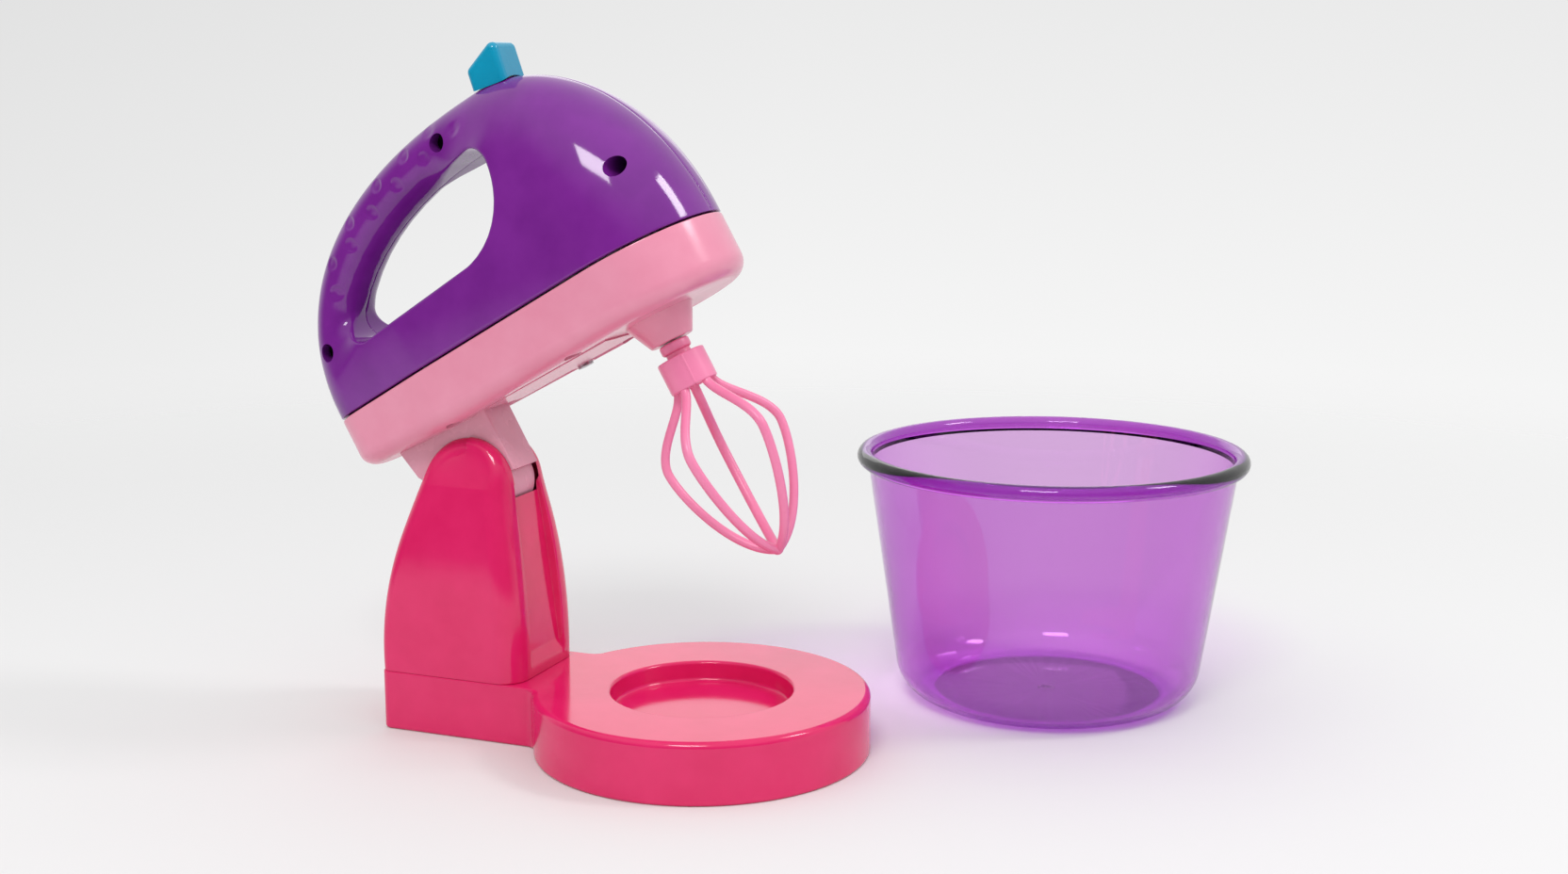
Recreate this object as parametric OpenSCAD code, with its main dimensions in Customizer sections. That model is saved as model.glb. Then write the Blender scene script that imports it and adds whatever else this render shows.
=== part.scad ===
// Toy stand mixer with a tilting head, a slide switch, a geared whisk and a loose bowl.
// Frame: origin at the centre of the base disc on the floor, +X to the front, +Z up.

/* [Base] */
// Radius of the disc that the bowl stands on
disc_r = 52; // [46:1:60]
// Height of the base
base_h = 19; // [17:0.5:24]
// Radius of the disc's top edge
disc_edge_r = 2; // [1:0.25:3]
// Radius of the round recess in the disc
recess_r = 28; // [24:1:32]
// Depth of the recess
recess_depth = 6.5; // [4:0.5:8]
// Reach of the foot behind the disc's centre
foot_reach = 102.4; // [98:0.2:112]
// Radius of the foot's rear corners
foot_corner_r = 3; // [1:0.5:5]
// Radius of the hollow corner between foot and disc
foot_blend_r = 5; // [3:0.5:8]
// Wall of the base moulding
base_wall = 2.2; // [1.6:0.1:2.6]
// Thickness of the plate that closes the base
plate_t = 2; // [1.5:0.25:3]

/* [Column] */
// Width of the column at its foot
column_w = 41; // [39:0.5:46]
// Width of the column at its arched top
arch_w = 25.5; // [24.5:0.5:28]
// Radius of the arched top
arch_r = 15; // [14.5:0.25:16]
// Distance of the arch's middle behind the hinge
arch_back = 3.5; // [2.5:0.25:4]
// Radius of the arch's edges
arch_edge_r = 5; // [3:0.25:5]
// Distance of the column's front face ahead of the hinge, at the foot
column_front = 17.6; // [17:0.2:19]
// How far the front edge bulges past a straight line
front_bulge = 1.8; // [0.6:0.1:3]
// Radius of the column's front edges
front_edge_r = 5; // [3:0.5:6]
// Radius of the column's rear edges
rear_edge_r = 3; // [2:0.5:4]
// How far the rear edge bulges past a straight line
rear_bulge = 3; // [1:0.5:5]
// Width of the groove down the front face, at the foot
groove_w = 24; // [22:0.2:25]
// Depth of the groove at the foot
groove_depth = 5; // [3:0.25:6]
// How far the groove's floor leans back on its way up
groove_lean = 1.5; // [0.5:0.1:2]
// Height of the groove's lower end above the base
groove_rise = 5; // [3:0.5:12]
// Wall of the column moulding
column_wall = 2.4; // [1.8:0.1:3]

/* [Hinge] */
// Distance of the hinge axis behind the disc's centre
hinge_back = 71; // [69:0.5:73]
// Height of the hinge axis
hinge_z = 79; // [76:0.5:90]
// Tilt of the head as it stands
head_tilt = 29; // [24:0.5:32]
// Diameter of the hinge pin
pin_d = 6; // [5:0.25:7]
// Diameter of the cap on the pin's end
pin_cap_d = 9.6; // [9:0.2:11]

/* [Neck] */
// Width of the neck
neck_w = 15; // [13:0.5:17]
// Radius of the neck's knuckle
knuckle_r = 10.5; // [9.5:0.25:11]
// Reach of the neck's front face ahead of the hinge
neck_front = 13; // [12:0.25:14]
// Reach of the neck behind the hinge
neck_rear = 21.4; // [20:0.2:23]
// Height of the tray's underside above the hinge
tray_q = 19.7; // [19.2:0.1:22]

/* [Tray] */
// Depth of the tray
tray_depth = 19.8; // [19:0.2:24]
// Gap that shows as a dark line under the housing
seam_gap = 0.7; // [0.4:0.1:0.9]
// Wall of the tray
tray_wall = 2.2; // [1.8:0.1:2.6]
// Radius of the tray's lower edge
tray_edge_r = 6; // [4:0.5:7]
// Centre of the head's round front end, ahead of the hinge
front_p = 78.8; // [76:0.2:82]
// Radius of the head's front end
front_r = 29.25; // [28:0.25:31]
// Centre of the head's middle, ahead of the hinge
middle_p = 8; // [2:1:20]
// Half width of the head's middle
middle_r = 20.3; // [19.5:0.1:22]
// Centre of the head's rear end, behind the hinge
rear_p = 24; // [22:0.2:26]
// Radius of the head's rear end
rear_r = 14; // [12.5:0.5:16]

/* [Housing] */
// Height of the housing above the seam
housing_h = 67; // [65:0.5:72]
// Place of the housing's highest point, ahead of the hinge
peak_p = 57.8; // [56:0.2:60]
// Fullness of the rear curve, where 2 is an ellipse
rear_power = 2.3; // [2.1:0.05:2.45]
// Fullness of the housing's cross section, where 2 is an ellipse
section_power = 2.3; // [2:0.05:2.8]
// Wall of the housing
housing_wall = 2.2; // [1.6:0.1:2.6]
// Width of the handle
handle_w = 21; // [18:0.5:23]
// Centre of the grip opening's rear end, ahead of the hinge
grip_rear_p = -8.5; // [-10:0.1:-6.5]
// Height of the grip opening's rear end above the seam
grip_rear_v = 23.5; // [22:0.1:26]
// Radius of the grip opening's rear end
grip_rear_r = 7.1; // [6:0.1:7.5]
// Centre of the grip opening's front end, ahead of the hinge
grip_front_p = 37.5; // [35.5:0.1:39]
// Height of the grip opening's front end above the seam
grip_front_v = 32.5; // [31.5:0.1:33.5]
// Radius of the grip opening's front end
grip_front_r = 13.9; // [13:0.1:14.5]
// Centre of the grip opening's foremost bend, ahead of the hinge
grip_bend_p = 46.4; // [45:0.1:47.5]
// Height of the grip opening's foremost bend above the seam
grip_bend_v = 35.1; // [34:0.1:36]
// Radius of the grip opening's foremost bend
grip_bend_r = 12; // [11:0.1:12.5]
// Centre of the grip opening's top corner, ahead of the hinge
grip_top_p = 51.7; // [50:0.1:52.5]
// Middle of the opening's upper front corner, below the housing's highest point
grip_top_drop = 24.8; // [24.2:0.1:26.5]
// Radius of the grip opening's top corner
grip_top_r = 7.9; // [6.5:0.1:8.2]
// Place of the crown that the opening's upper side bends towards, ahead of the hinge
grip_crown_p = 10.5; // [8:0.1:13]
// Place of the crown below the housing's highest point
grip_crown_drop = 25.3; // [24.6:0.1:27]
// Radius of the circles halfway along the opening's upper side, as far as the crown sets it
grip_crown_r = 7.9; // [7:0.1:8.5]
// Diameter of the holes for the housing screws
screw_hole_d = 5.8; // [5.4:0.1:6.2]

/* [Switch] */
// Place of the switch knob's middle, ahead of the hinge
knob_p = 64.5; // [63:0.5:67]
// Length of the knob
knob_l = 12.5; // [10.5:0.5:13.5]
// Width of the knob
knob_w = 14; // [12:0.5:16]
// Height of the knob's rear edge above the housing
knob_rear_h = 6.5; // [5:0.25:8]
// Height of the knob's front edge above the housing
knob_front_h = 11; // [9:0.25:13]
// Travel of the knob
knob_travel = 5; // [3:0.5:6]

/* [Drive] */
// Distance of the whisk's axis behind the centre of the front end
spindle_setback = 1.4; // [0:0.1:3]
// Tooth size of all the gears, as pitch diameter per tooth
gear_module = 0.5; // [0.45:0.01:0.52]
// Teeth of the pinions
pinion_teeth = 12; // [12:2:14]
// Teeth of the wheels
wheel_teeth = 36; // [32:2:36]
// Diameter of the whisk's spindle
spindle_d = 5; // [4:0.25:5.5]
// Diameter of the motor can
motor_d = 20.4; // [19:0.2:21]
// Thickness of the motor can across its flats
motor_flats = 15.4; // [14:0.2:16]
// Length of the motor can
motor_l = 25; // [22:0.5:26]
// Diameter of a battery, size AAA
battery_d = 10.5; // [10.3:0.1:10.5]
// Length of a battery
battery_l = 44.5; // [43.5:0.25:45]

/* [Whisk] */
// Diameter of the drive boss under the tray, at the tray
boss_top_d = 22; // [20:0.5:24]
// Diameter of the drive boss at its lower end
boss_end_d = 13.6; // [13:0.2:15]
// Height of the drive boss
boss_h = 8.4; // [7:0.2:10]
// Diameter of the whisk's thrust ring
ring_d = 9.6; // [9:0.2:11]
// Height of the thrust ring
ring_h = 3.2; // [2:0.2:4]
// Diameter of the whisk's neck
whisk_neck_d = 7.8; // [7.4:0.2:9]
// Distance from the boss to the collar
collar_drop = 5; // [4:0.25:7]
// Diameter of the whisk's collar
collar_d = 14.4; // [13.4:0.2:16]
// Length of the collar
collar_l = 10; // [8:0.5:12]
// Number of wires in the whisk
wire_count = 5; // [4:1:6]
// Diameter of a wire
wire_d = 2.3; // [2:0.1:2.8]
// Distance from the collar to the whisk's tip
whisk_drop = 54.8; // [50:0.2:56]
// Largest radius of the whisk, at the middle of a wire
whisk_belly_r = 20; // [17:0.5:23]
// Distance from the collar down to the belly
whisk_belly_drop = 19.8; // [18:0.2:24]

/* [Bowl] */
// Distance between the bowl's rim and the disc's edge, seen from above
bowl_gap = 10.7; // [6:0.1:30]
// Direction from the disc to the bowl, in degrees from the front
bowl_bearing = 47.8; // [40:0.2:80]
// Height of the bowl
bowl_h = 82; // [74:0.5:90]
// Outside radius of the bowl's rim
bowl_rim_r = 64.2; // [62:0.2:70]
// Radius of the round bead along the rim
bead_r = 2.6; // [2.2:0.1:3.2]
// Outside radius of the wall where it meets the lower corner
bowl_low_r = 48; // [46:0.5:52]
// Radius of the bowl's lower corner
bowl_corner_r = 11; // [9:0.5:13]
// Wall of the bowl
bowl_wall = 2; // [1.6:0.1:2.6]

/* [Fits] */
// Gap between pieces that move past each other
run_gap = 0.3; // [0.25:0.05:0.4]
// Radial clearance of a shaft in its bore
shaft_fit = 0.05; // [0.03:0.01:0.08]
// Gap between the two housing halves
parting_gap = 0.1; // [0.06:0.02:0.2]
// Radius of a screw's thread
screw_r = 1.2; // [1:0.05:1.3]
// Radius of a screw's head
screw_head_r = 2.6; // [2.2:0.1:2.7]
// Height of a screw's head
screw_head_h = 2; // [1.5:0.25:2.5]
// Radius of the posts that the screws bite into
post_r = 3.6; // [3.2:0.1:3.8]

/* [Hidden] */
$fn = 64;
eps = 0.01;
// A cut runs this far past the face it opens
cut = 1;
// Facets of the children of a hull
hull_fn = 32;
hinge_x = -hinge_back;
foot_hw = column_w / 2;
column_front_x = hinge_x + column_front;
groove_floor_x = column_front_x - groove_depth;
arch_x = hinge_x - arch_back;
arch_hw = arch_w / 2;
neck_hw = neck_w / 2;
slot_hw = neck_hw + run_gap;
pin_r = pin_d / 2;
// Height of the seam between tray and housing above the hinge, square to the seam
seam_q = tray_q + tray_depth;
tray_top_q = seam_q - seam_gap;
floor_q = tray_q + tray_wall;
nose_p = front_p + front_r;
tail_p = -rear_p - rear_r;
spindle_p = front_p - spindle_setback;
spindle_r = spindle_d / 2;
gear_distance = gear_module * (pinion_teeth + wheel_teeth) / 2;
axle_p = spindle_p + gear_distance;
boss_end_q = tray_q - boss_h;
collar_top_q = boss_end_q - collar_drop;
collar_end_q = collar_top_q - collar_l;

// Shared helpers

// The head's own axes: X ahead of the hinge along the seam, Z square to the seam
module head_frame() {
    translate([hinge_x, 0, hinge_z]) rotate([0, -head_tilt, 0]) children();
}

// A round bar along Y from y0 to y1
module bar_y(y0, y1, r) {
    translate([0, y1, 0]) rotate([90, 0, 0]) cylinder(h = y1 - y0, r = r);
}

// A flat outline drawn in X and Z, given a thickness from y0 to y1
module prism_y(y0, y1) {
    translate([0, y1, 0]) rotate([90, 0, 0]) linear_extrude(y1 - y0) children();
}

// A pan-head screw that points up from the origin, with its head below it
module screw_up(length) {
    cylinder(h = length, r = screw_r);
    translate([0, 0, -screw_head_h]) cylinder(h = screw_head_h, r = screw_head_r);
}

// Points of an arc about a centre, with step as the number of parts
function arc(centre, r, from, to, step) =
    [for (i = [0 : step]) let (a = from + (to - from) * i / step) centre + r * [cos(a), sin(a)]];

function mix(a, b, t) = a + (b - a) * t;

function smooth(t) = let (c = min(1, max(0, t))) c * c * (3 - 2 * c);

// Halves the stretch between a length inside and a length outside until it is small
function last_inside(test, low, high, turns = 36) =
    turns == 0 ? low :
    let (mid = (low + high) / 2)
    test(mid) ? last_inside(test, mid, high, turns - 1) : last_inside(test, low, mid, turns - 1);

// Closed surface over rings of points, joined around and from each ring to the next
module ring_solid(rings) {
    n = len(rings);
    m = len(rings[0]);
    faces = [for (j = [0 : n - 1], i = [0 : m - 1])
        let (next_row = (j + 1) % n * m, next = (i + 1) % m,
            a = j * m + i, b = j * m + next, c = next_row + i, d = next_row + next)
        each [[a, d, b], [a, c, d]]];
    polyhedron([for (ring = rings) each ring], faces);
}

// Base

// How far the rear screws stand in from the leaning rear wall
column_screw_in = 14;
// Room left past the tip of a screw
tip_room = 2;
base_screw_x = disc_r * 0.56;
base_screw_y = disc_r * 0.6;
foot_screw_x = foot_reach - base_wall - post_r - 4;
foot_screw_y = foot_hw - base_wall - post_r - 1;
recess_floor_z = base_h - recess_depth;
base_roof_z = base_h - base_wall;
column_screw_front_x = groove_floor_x - column_wall - post_r - 2;
column_screw_y = foot_hw - column_wall - post_r + 0.6;
column_screw_rear_x = -foot_reach + column_wall + post_r + column_screw_in;

module at_base_screws() {
    for (side = [-1, 1]) {
        translate([base_screw_x, side * base_screw_y, 0]) children();
        translate([-foot_screw_x, side * foot_screw_y, 0]) children();
    }
}

module at_column_screws() {
    for (side = [-1, 1], x = [column_screw_front_x, column_screw_rear_x])
        translate([x, side * column_screw_y, 0]) children();
}

// Plan of the foot, drawn in by inset, with the hollow corners at the disc
module foot_plan(inset) {
    r = max(foot_corner_r - inset, 0.5);
    rear = foot_reach - inset;
    hw = foot_hw - inset;
    blend_y = foot_hw + foot_blend_r;
    blend_x = -sqrt(pow(disc_r + foot_blend_r, 2) - pow(blend_y, 2));
    touch = [blend_x, blend_y] * disc_r / (disc_r + foot_blend_r);
    difference() {
        union() {
            translate([-rear + r, -hw]) square([rear - r - recess_r, 2 * hw]);
            translate([-rear, -hw + r]) square([2 * r, 2 * (hw - r)]);
            for (side = [-1, 1]) translate([-rear + r, side * (hw - r)]) circle(r);
            if (inset == 0) for (side = [-1, 1])
                polygon([[blend_x, 0], [blend_x, side * foot_hw], [blend_x, side * blend_y],
                    [touch[0], side * touch[1]], [touch[0], 0]]);
        }
        for (side = [-1, 1]) translate([blend_x, side * blend_y]) circle(foot_blend_r + inset);
    }
}

module disc_solid() {
    rotate_extrude() {
        square([disc_r, base_h - disc_edge_r]);
        square([disc_r - disc_edge_r, base_h]);
        translate([disc_r - disc_edge_r, base_h - disc_edge_r]) circle(disc_edge_r);
    }
}

module base() {
    color("#DE1F66") difference() {
        union() {
            difference() {
                union() {
                    disc_solid();
                    linear_extrude(base_h) foot_plan(0);
                }
                translate([0, 0, recess_floor_z]) cylinder(h = recess_depth + cut, r = recess_r);
                translate([0, 0, -cut])
                    cylinder(h = cut + recess_floor_z - base_wall, r = disc_r - base_wall);
                difference() {
                    translate([0, 0, -cut]) union() {
                        cylinder(h = cut + base_roof_z, r = disc_r - base_wall);
                        linear_extrude(cut + base_roof_z) foot_plan(base_wall);
                    }
                    translate([0, 0, -2 * cut])
                        cylinder(h = 2 * cut + base_h, r = recess_r + base_wall);
                }
            }
            at_base_screws() translate([0, 0, plate_t]) cylinder(h = base_roof_z - plate_t + eps, r = post_r);
        }
        at_base_screws() translate([0, 0, -cut]) cylinder(h = cut + base_roof_z - 1, r = screw_r + shaft_fit);
        at_column_screws() translate([0, 0, base_roof_z - cut]) cylinder(h = base_h, r = screw_r + shaft_fit);
    }
}

module base_plate() {
    inset = base_wall + run_gap;
    color("#C2185B") difference() {
        union() {
            cylinder(h = plate_t, r = disc_r - inset);
            linear_extrude(plate_t) foot_plan(inset);
        }
        at_base_screws() {
            translate([0, 0, -cut]) cylinder(h = plate_t + 2 * cut, r = screw_r + shaft_fit);
            translate([0, 0, -cut]) cylinder(h = plate_t / 2 + cut, r = screw_head_r + run_gap);
        }
    }
}

module base_screws() {
    head_h = plate_t / 2;
    color("silver") at_base_screws() {
        translate([0, 0, head_h]) cylinder(h = base_roof_z - tip_room - head_h, r = screw_r);
        translate([0, 0, run_gap]) cylinder(h = head_h - run_gap, r = screw_head_r);
    }
}

// Column

slot_floor_r = knuckle_r + 0.8;
// Top of the groove's floor, on which the neck's step lands when the head is down
stop_drop = 0.5;
stop_z = hinge_z - stop_drop - run_gap;
column_roof_z = hinge_z - slot_floor_r - column_wall;
pin_cap_depth = 2;
pin_near_y = -arch_hw + 2;
post_l = 16;
// Lower rear corner of the neck in the head's frame, and how deep its back runs into the knuckle
neck_heel = [-neck_rear + 2.3, tray_q - 8];
heel_bite = 0.2;
heel_room = 0.8;

// Share of the way from the foot up to the hinge
function column_share(z) = (z - base_h) / (hinge_z - base_h);

// Rear and front edge of the column at height z: straight from the foot to the arch, plus a bulge
function column_rear_x(z) =
    let (t = column_share(z))
    mix(-foot_reach + 0.4, arch_x - arch_r, t) - rear_bulge * 4 * t * (1 - t);

function column_edge_x(z) =
    let (t = column_share(z))
    mix(column_front_x, arch_x + arch_r, t) + front_bulge * 4 * t * (1 - t);

// The sides and the groove draw in towards the arch
function column_hw(z) = mix(foot_hw, arch_hw, pow(column_share(z), 3));

function groove_hw(z) = mix(groove_w / 2, slot_hw, pow(column_share(z), 3));

function groove_x(z) = groove_floor_x - groove_lean * column_share(z);

// Slice of the column at height z, drawn in by inset, with its front at front_x
module column_slice(z, inset, front_x) {
    rear_x = column_rear_x(z) + inset;
    hw = column_hw(z) - inset;
    rf = max(front_edge_r - inset, 0.6);
    rr = max(rear_edge_r - inset, 0.6);
    translate([0, 0, z]) for (side = [-1, 1]) {
        translate([front_x - rf, side * (hw - rf), 0]) cylinder(h = eps, r = rf, $fn = hull_fn);
        translate([rear_x + rr, side * (hw - rr), 0]) cylinder(h = eps, r = rr, $fn = hull_fn);
    }
}

module column_form() {
    steps = 7;
    hull() {
        for (i = [0 : steps - 1]) let (z = mix(base_h, hinge_z, i / steps))
            column_slice(z, 0, column_edge_x(z));
        translate([arch_x, 0, hinge_z]) for (turn = [0 : 30 : 90]) {
            hw = arch_hw - arch_edge_r * (1 - cos(turn));
            bar_y(-hw, hw, arch_r - arch_edge_r * (1 - sin(turn)));
        }
    }
}

// Where the neck swings between the cheeks, in the hinge's own X and Z
module slot_outline() {
    far = 2 * arch_r;
    // The neck's lower rear edge as the head stands, with room below it
    turn = [[cos(head_tilt), -sin(head_tilt)], [sin(head_tilt), cos(head_tilt)]];
    corner = turn * neck_heel;
    lean = acos(knuckle_r / norm(neck_heel));
    touch_angle = atan2(corner[1], corner[0]) + lean;
    touch = knuckle_r * [cos(touch_angle), sin(touch_angle)];
    along = (corner - touch) / norm(corner - touch);
    down = heel_room * [cos(touch_angle), sin(touch_angle)];
    polygon([touch + down, [0, 0], [slot_floor_r - 1, stop_z - hinge_z], [far, stop_z - hinge_z], [far, far],
        [-far, far], touch + down + along * 2 * far]);
    circle(slot_floor_r);
}

module groove() {
    steps = 5;
    hull() for (i = [0 : steps]) let (z = mix(base_h + groove_rise, hinge_z, i / steps))
        translate([groove_x(z), -groove_hw(z), z]) cube([3 * groove_depth, 2 * groove_hw(z), eps]);
}

module column() {
    color("#E0246C") difference() {
        union() {
            difference() {
                column_form();
                hull() {
                    column_slice(base_h - cut, column_wall, groove_x(base_h - cut) - column_wall);
                    column_slice(column_roof_z - eps, column_wall, groove_x(column_roof_z) - column_wall);
                }
                translate([hinge_x, 0, hinge_z]) prism_y(-slot_hw, slot_hw) slot_outline();
                groove();
            }
            at_column_screws() translate([0, 0, base_h]) cylinder(h = post_l, r = post_r);
        }
        translate([hinge_x, 0, hinge_z]) {
            bar_y(pin_near_y, arch_w, pin_r + shaft_fit);
            bar_y(arch_hw - pin_cap_depth, arch_w, pin_cap_d / 2 + shaft_fit);
        }
        at_column_screws() translate([0, 0, base_h - cut])
            cylinder(h = post_l - tip_room + cut, r = screw_r + shaft_fit);
    }
}
module column_screws() {
    color("silver") at_column_screws() translate([0, 0, base_roof_z])
        screw_up(base_wall + post_l - 2 * tip_room);
}

module hinge_pin() {
    color("silver") translate([hinge_x, 0, hinge_z])
        bar_y(pin_near_y + run_gap, arch_hw - pin_cap_depth, pin_r);
}

module hinge_pin_cap() {
    color("#D81B60") translate([hinge_x, 0, hinge_z]) {
        bar_y(arch_hw - pin_cap_depth, arch_hw, pin_cap_d / 2);
        bar_y(arch_hw - eps, arch_hw + 0.6, pin_cap_d / 2 - 0.8);
    }
}

// Neck

neck_screw_p = 4;
neck_screw_depth = 9;

module at_neck_screws() {
    for (p = [neck_screw_p, -neck_screw_p - 6]) translate([p, 0, 0]) children();
}

module neck() {
    lean = acos(knuckle_r / norm(neck_heel));
    touch_angle = atan2(neck_heel[1], neck_heel[0]) + lean;
    touch = (knuckle_r - heel_bite) * [cos(touch_angle), sin(touch_angle)];
    color("#DDA3B6") head_frame() difference() {
        prism_y(-neck_hw, neck_hw) {
            circle(knuckle_r);
            polygon([[-neck_rear, tray_q], neck_heel, touch, [0, 0], [0, -stop_drop],
                [neck_front, -stop_drop], [neck_front, tray_q]]);
        }
        bar_y(-neck_w, neck_w, pin_r + shaft_fit);
        at_neck_screws() translate([0, 0, tray_q - neck_screw_depth])
            cylinder(h = neck_screw_depth + cut, r = screw_r + shaft_fit);
    }
}

module neck_screws() {
    length = tray_wall + neck_screw_depth - tip_room;
    color("silver") head_frame() at_neck_screws() translate([0, 0, floor_q]) rotate([180, 0, 0])
        screw_up(length);
}

// Tray

compartment_p0 = neck_front + 1.4;
compartment_wall = 1.6;
battery_p0 = compartment_p0 + compartment_wall + 1.2;
battery_p1 = battery_p0 + battery_l;
compartment_p1 = battery_p1 + 1.2 + compartment_wall;
compartment_hw = battery_d + 0.6 + compartment_wall;
compartment_roof_q = floor_q + battery_d + 1.4;
door_t = 1.2;
door_margin = 1.4;
door_ear_p = (battery_p0 + battery_p1) / 2;
door_ear_y = compartment_hw + 2.6;
door_ear_r = 3.6;
bush_r = 4;
bush_flange_r = 6;
bush_flange_h = 1.2;
plate_q = seam_q;
gear_plate_t = 2;
gear_plate_r = front_r - 4;
tray_screw_rear = [5, middle_r - 6.3];
tray_screw_front = [compartment_p1 - 9, front_r - 9.5];
tray_screw_rise = 7;
gear_post_back = 7.4;
gear_post_ahead = 17.6;
gear_post_rear_in = 10.5;
gear_post_front_in = 13.5;
gear_posts = [[spindle_p - gear_post_back, front_r - gear_post_rear_in],
    [spindle_p + gear_post_ahead, front_r - gear_post_front_in]];

// Half width of a body with two round ends, at place p along it
function capsule_hw(p, a, ra, b, rb) =
    let (s = (rb - ra) / (b - a), c = sqrt(1 - s * s))
    p < a - ra * s ? sqrt(max(0, ra * ra - pow(p - a, 2))) :
    p > b - rb * s ? sqrt(max(0, rb * rb - pow(p - b, 2))) :
    (ra + (p - a) * s) / c;

// Half width of the head's plan at place p, drawn in by inset
function plan_hw(p, inset) = max(
    capsule_hw(p, -rear_p, rear_r - inset, middle_p, middle_r - inset),
    capsule_hw(p, middle_p, middle_r - inset, front_p, front_r - inset));

// Egg-shaped tub with a round lower edge
module tub(q0, q1, inset, edge_r) {
    ends = [[-rear_p, rear_r], [middle_p, middle_r], [front_p, front_r]];
    hull() for (end = ends) translate([end[0], 0, q0]) rotate_extrude($fn = 2 * hull_fn)
        polygon(concat([[0, q1 - q0], [0, 0]],
            arc([end[1] - inset - edge_r, edge_r], edge_r, -90, 0, 6), [[end[1] - inset, q1 - q0]]));
}

module at_tray_screws() {
    for (spot = [tray_screw_rear, tray_screw_front], side = [-1, 1])
        translate([spot[0], side * spot[1], 0]) children();
}

module at_gear_posts() {
    for (spot = gear_posts, side = [-1, 1]) translate([spot[0], side * spot[1], 0]) children();
}

// Plan of the battery door, drawn in by inset
module door_plan(inset) {
    p0 = battery_p0 - 0.6 - door_margin + inset;
    hw = battery_d + 0.6 + door_margin - inset;
    translate([p0, -hw]) square([battery_l + 1.2 + 2 * (door_margin - inset), 2 * hw]);
    translate([door_ear_p, door_ear_y]) circle(door_ear_r - inset);
    translate([door_ear_p - door_ear_r + inset, 0]) square([2 * (door_ear_r - inset), door_ear_y]);
}

module lower_tray() {
    compartment_l = compartment_p1 - compartment_p0;
    color("#F0A3BB") head_frame() difference() {
        union() {
            difference() {
                tub(tray_q, tray_top_q, 0, tray_edge_r);
                tub(floor_q, tray_top_q + cut, tray_wall, tray_edge_r - tray_wall);
            }
            translate([spindle_p, 0, boss_end_q])
                cylinder(h = boss_h + eps, r1 = boss_end_d / 2, r2 = boss_top_d / 2);
            translate([compartment_p0, -compartment_hw, tray_q + eps])
                cube([compartment_l, 2 * compartment_hw, compartment_roof_q + compartment_wall - tray_q]);
            at_tray_screws() translate([0, 0, floor_q - eps]) cylinder(h = seam_q - floor_q, r = post_r);
            at_gear_posts() translate([0, 0, floor_q - eps]) cylinder(h = plate_q - floor_q, r = post_r);
            translate([axle_p, 0, floor_q - eps]) cylinder(h = 2.5, r = 2.4);
            translate([door_ear_p, door_ear_y, floor_q - eps]) cylinder(h = 9, r = post_r);
        }
        // Room for the batteries, open through the floor
        translate([battery_p0 - 1.2, -battery_d - 0.6, tray_q + door_t])
            cube([battery_l + 2.4, 2 * battery_d + 1.2, compartment_roof_q - tray_q - door_t]);
        translate([0, 0, tray_q - cut]) linear_extrude(cut + door_t) door_plan(0);
        translate([door_ear_p, door_ear_y, tray_q]) cylinder(h = 9, r = screw_r + shaft_fit);
        // Bore of the drive boss
        translate([spindle_p, 0, boss_end_q - cut]) cylinder(h = boss_h + tray_depth, r = bush_r + shaft_fit);
        translate([axle_p, 0, floor_q - 0.8]) cylinder(h = tray_depth, r = gear_axle_r + shaft_fit);
        at_tray_screws() {
            translate([0, 0, tray_q - cut]) cylinder(h = tray_depth + 2 * cut, r = screw_r + shaft_fit);
            translate([0, 0, tray_q - cut]) cylinder(h = tray_screw_rise + cut, r = screw_head_r + run_gap);
        }
        at_gear_posts() translate([0, 0, floor_q + 2]) cylinder(h = tray_depth, r = screw_r + shaft_fit);
        at_neck_screws() translate([0, 0, tray_q - cut])
            cylinder(h = 2 * tray_wall + cut, r = screw_r + shaft_fit);
    }
}

module tray_screws() {
    length = seam_q - tray_q - tray_screw_rise + 7;
    color("silver") head_frame() at_tray_screws() translate([0, 0, tray_q + tray_screw_rise])
        screw_up(length);
}

module battery_door() {
    color("#E894AF") head_frame() difference() {
        translate([0, 0, tray_q]) linear_extrude(door_t) door_plan(run_gap);
        translate([door_ear_p, door_ear_y, tray_q - cut])
            cylinder(h = door_t + 2 * cut, r = screw_r + shaft_fit);
    }
}

module battery_door_screw() {
    color("silver") head_frame() translate([door_ear_p, door_ear_y, tray_q]) {
        cylinder(h = 8, r = screw_r);
        translate([0, 0, -0.8]) cylinder(h = 0.8, r = screw_head_r);
    }
}

battery_q = floor_q + battery_d / 2;

module batteries() {
    nub = 0.8;
    color("dimgray") head_frame() for (side = [-1, 1])
        translate([battery_p0, side * (battery_d / 2 + 0.2), battery_q]) rotate([0, 90, 0]) {
            cylinder(h = battery_l - nub, r = battery_d / 2);
            translate([0, 0, battery_l - nub - eps]) cylinder(h = nub + eps, r = 1.9);
        }
}

module battery_contacts() {
    thick = 0.5;
    color("silver") head_frame() for (side = [-1, 1], p = [battery_p0 - 1, battery_p1 + 1 - thick])
        translate([p, side * (battery_d / 2 + 0.2) - 4, battery_q - 4]) cube([thick, 8, 8]);
}

// Gear train

gear_axle_r = 1.2;
motor_shaft_r = 1;
wheel_t = 3;
drive_q = floor_q + bush_flange_h + run_gap + 1.5;
drive_t = 4;
idler_q = drive_q;
small_t = 5;
wheel_q = drive_q + drive_t + 2.5;
motor_q = plate_q + gear_plate_t;

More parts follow.
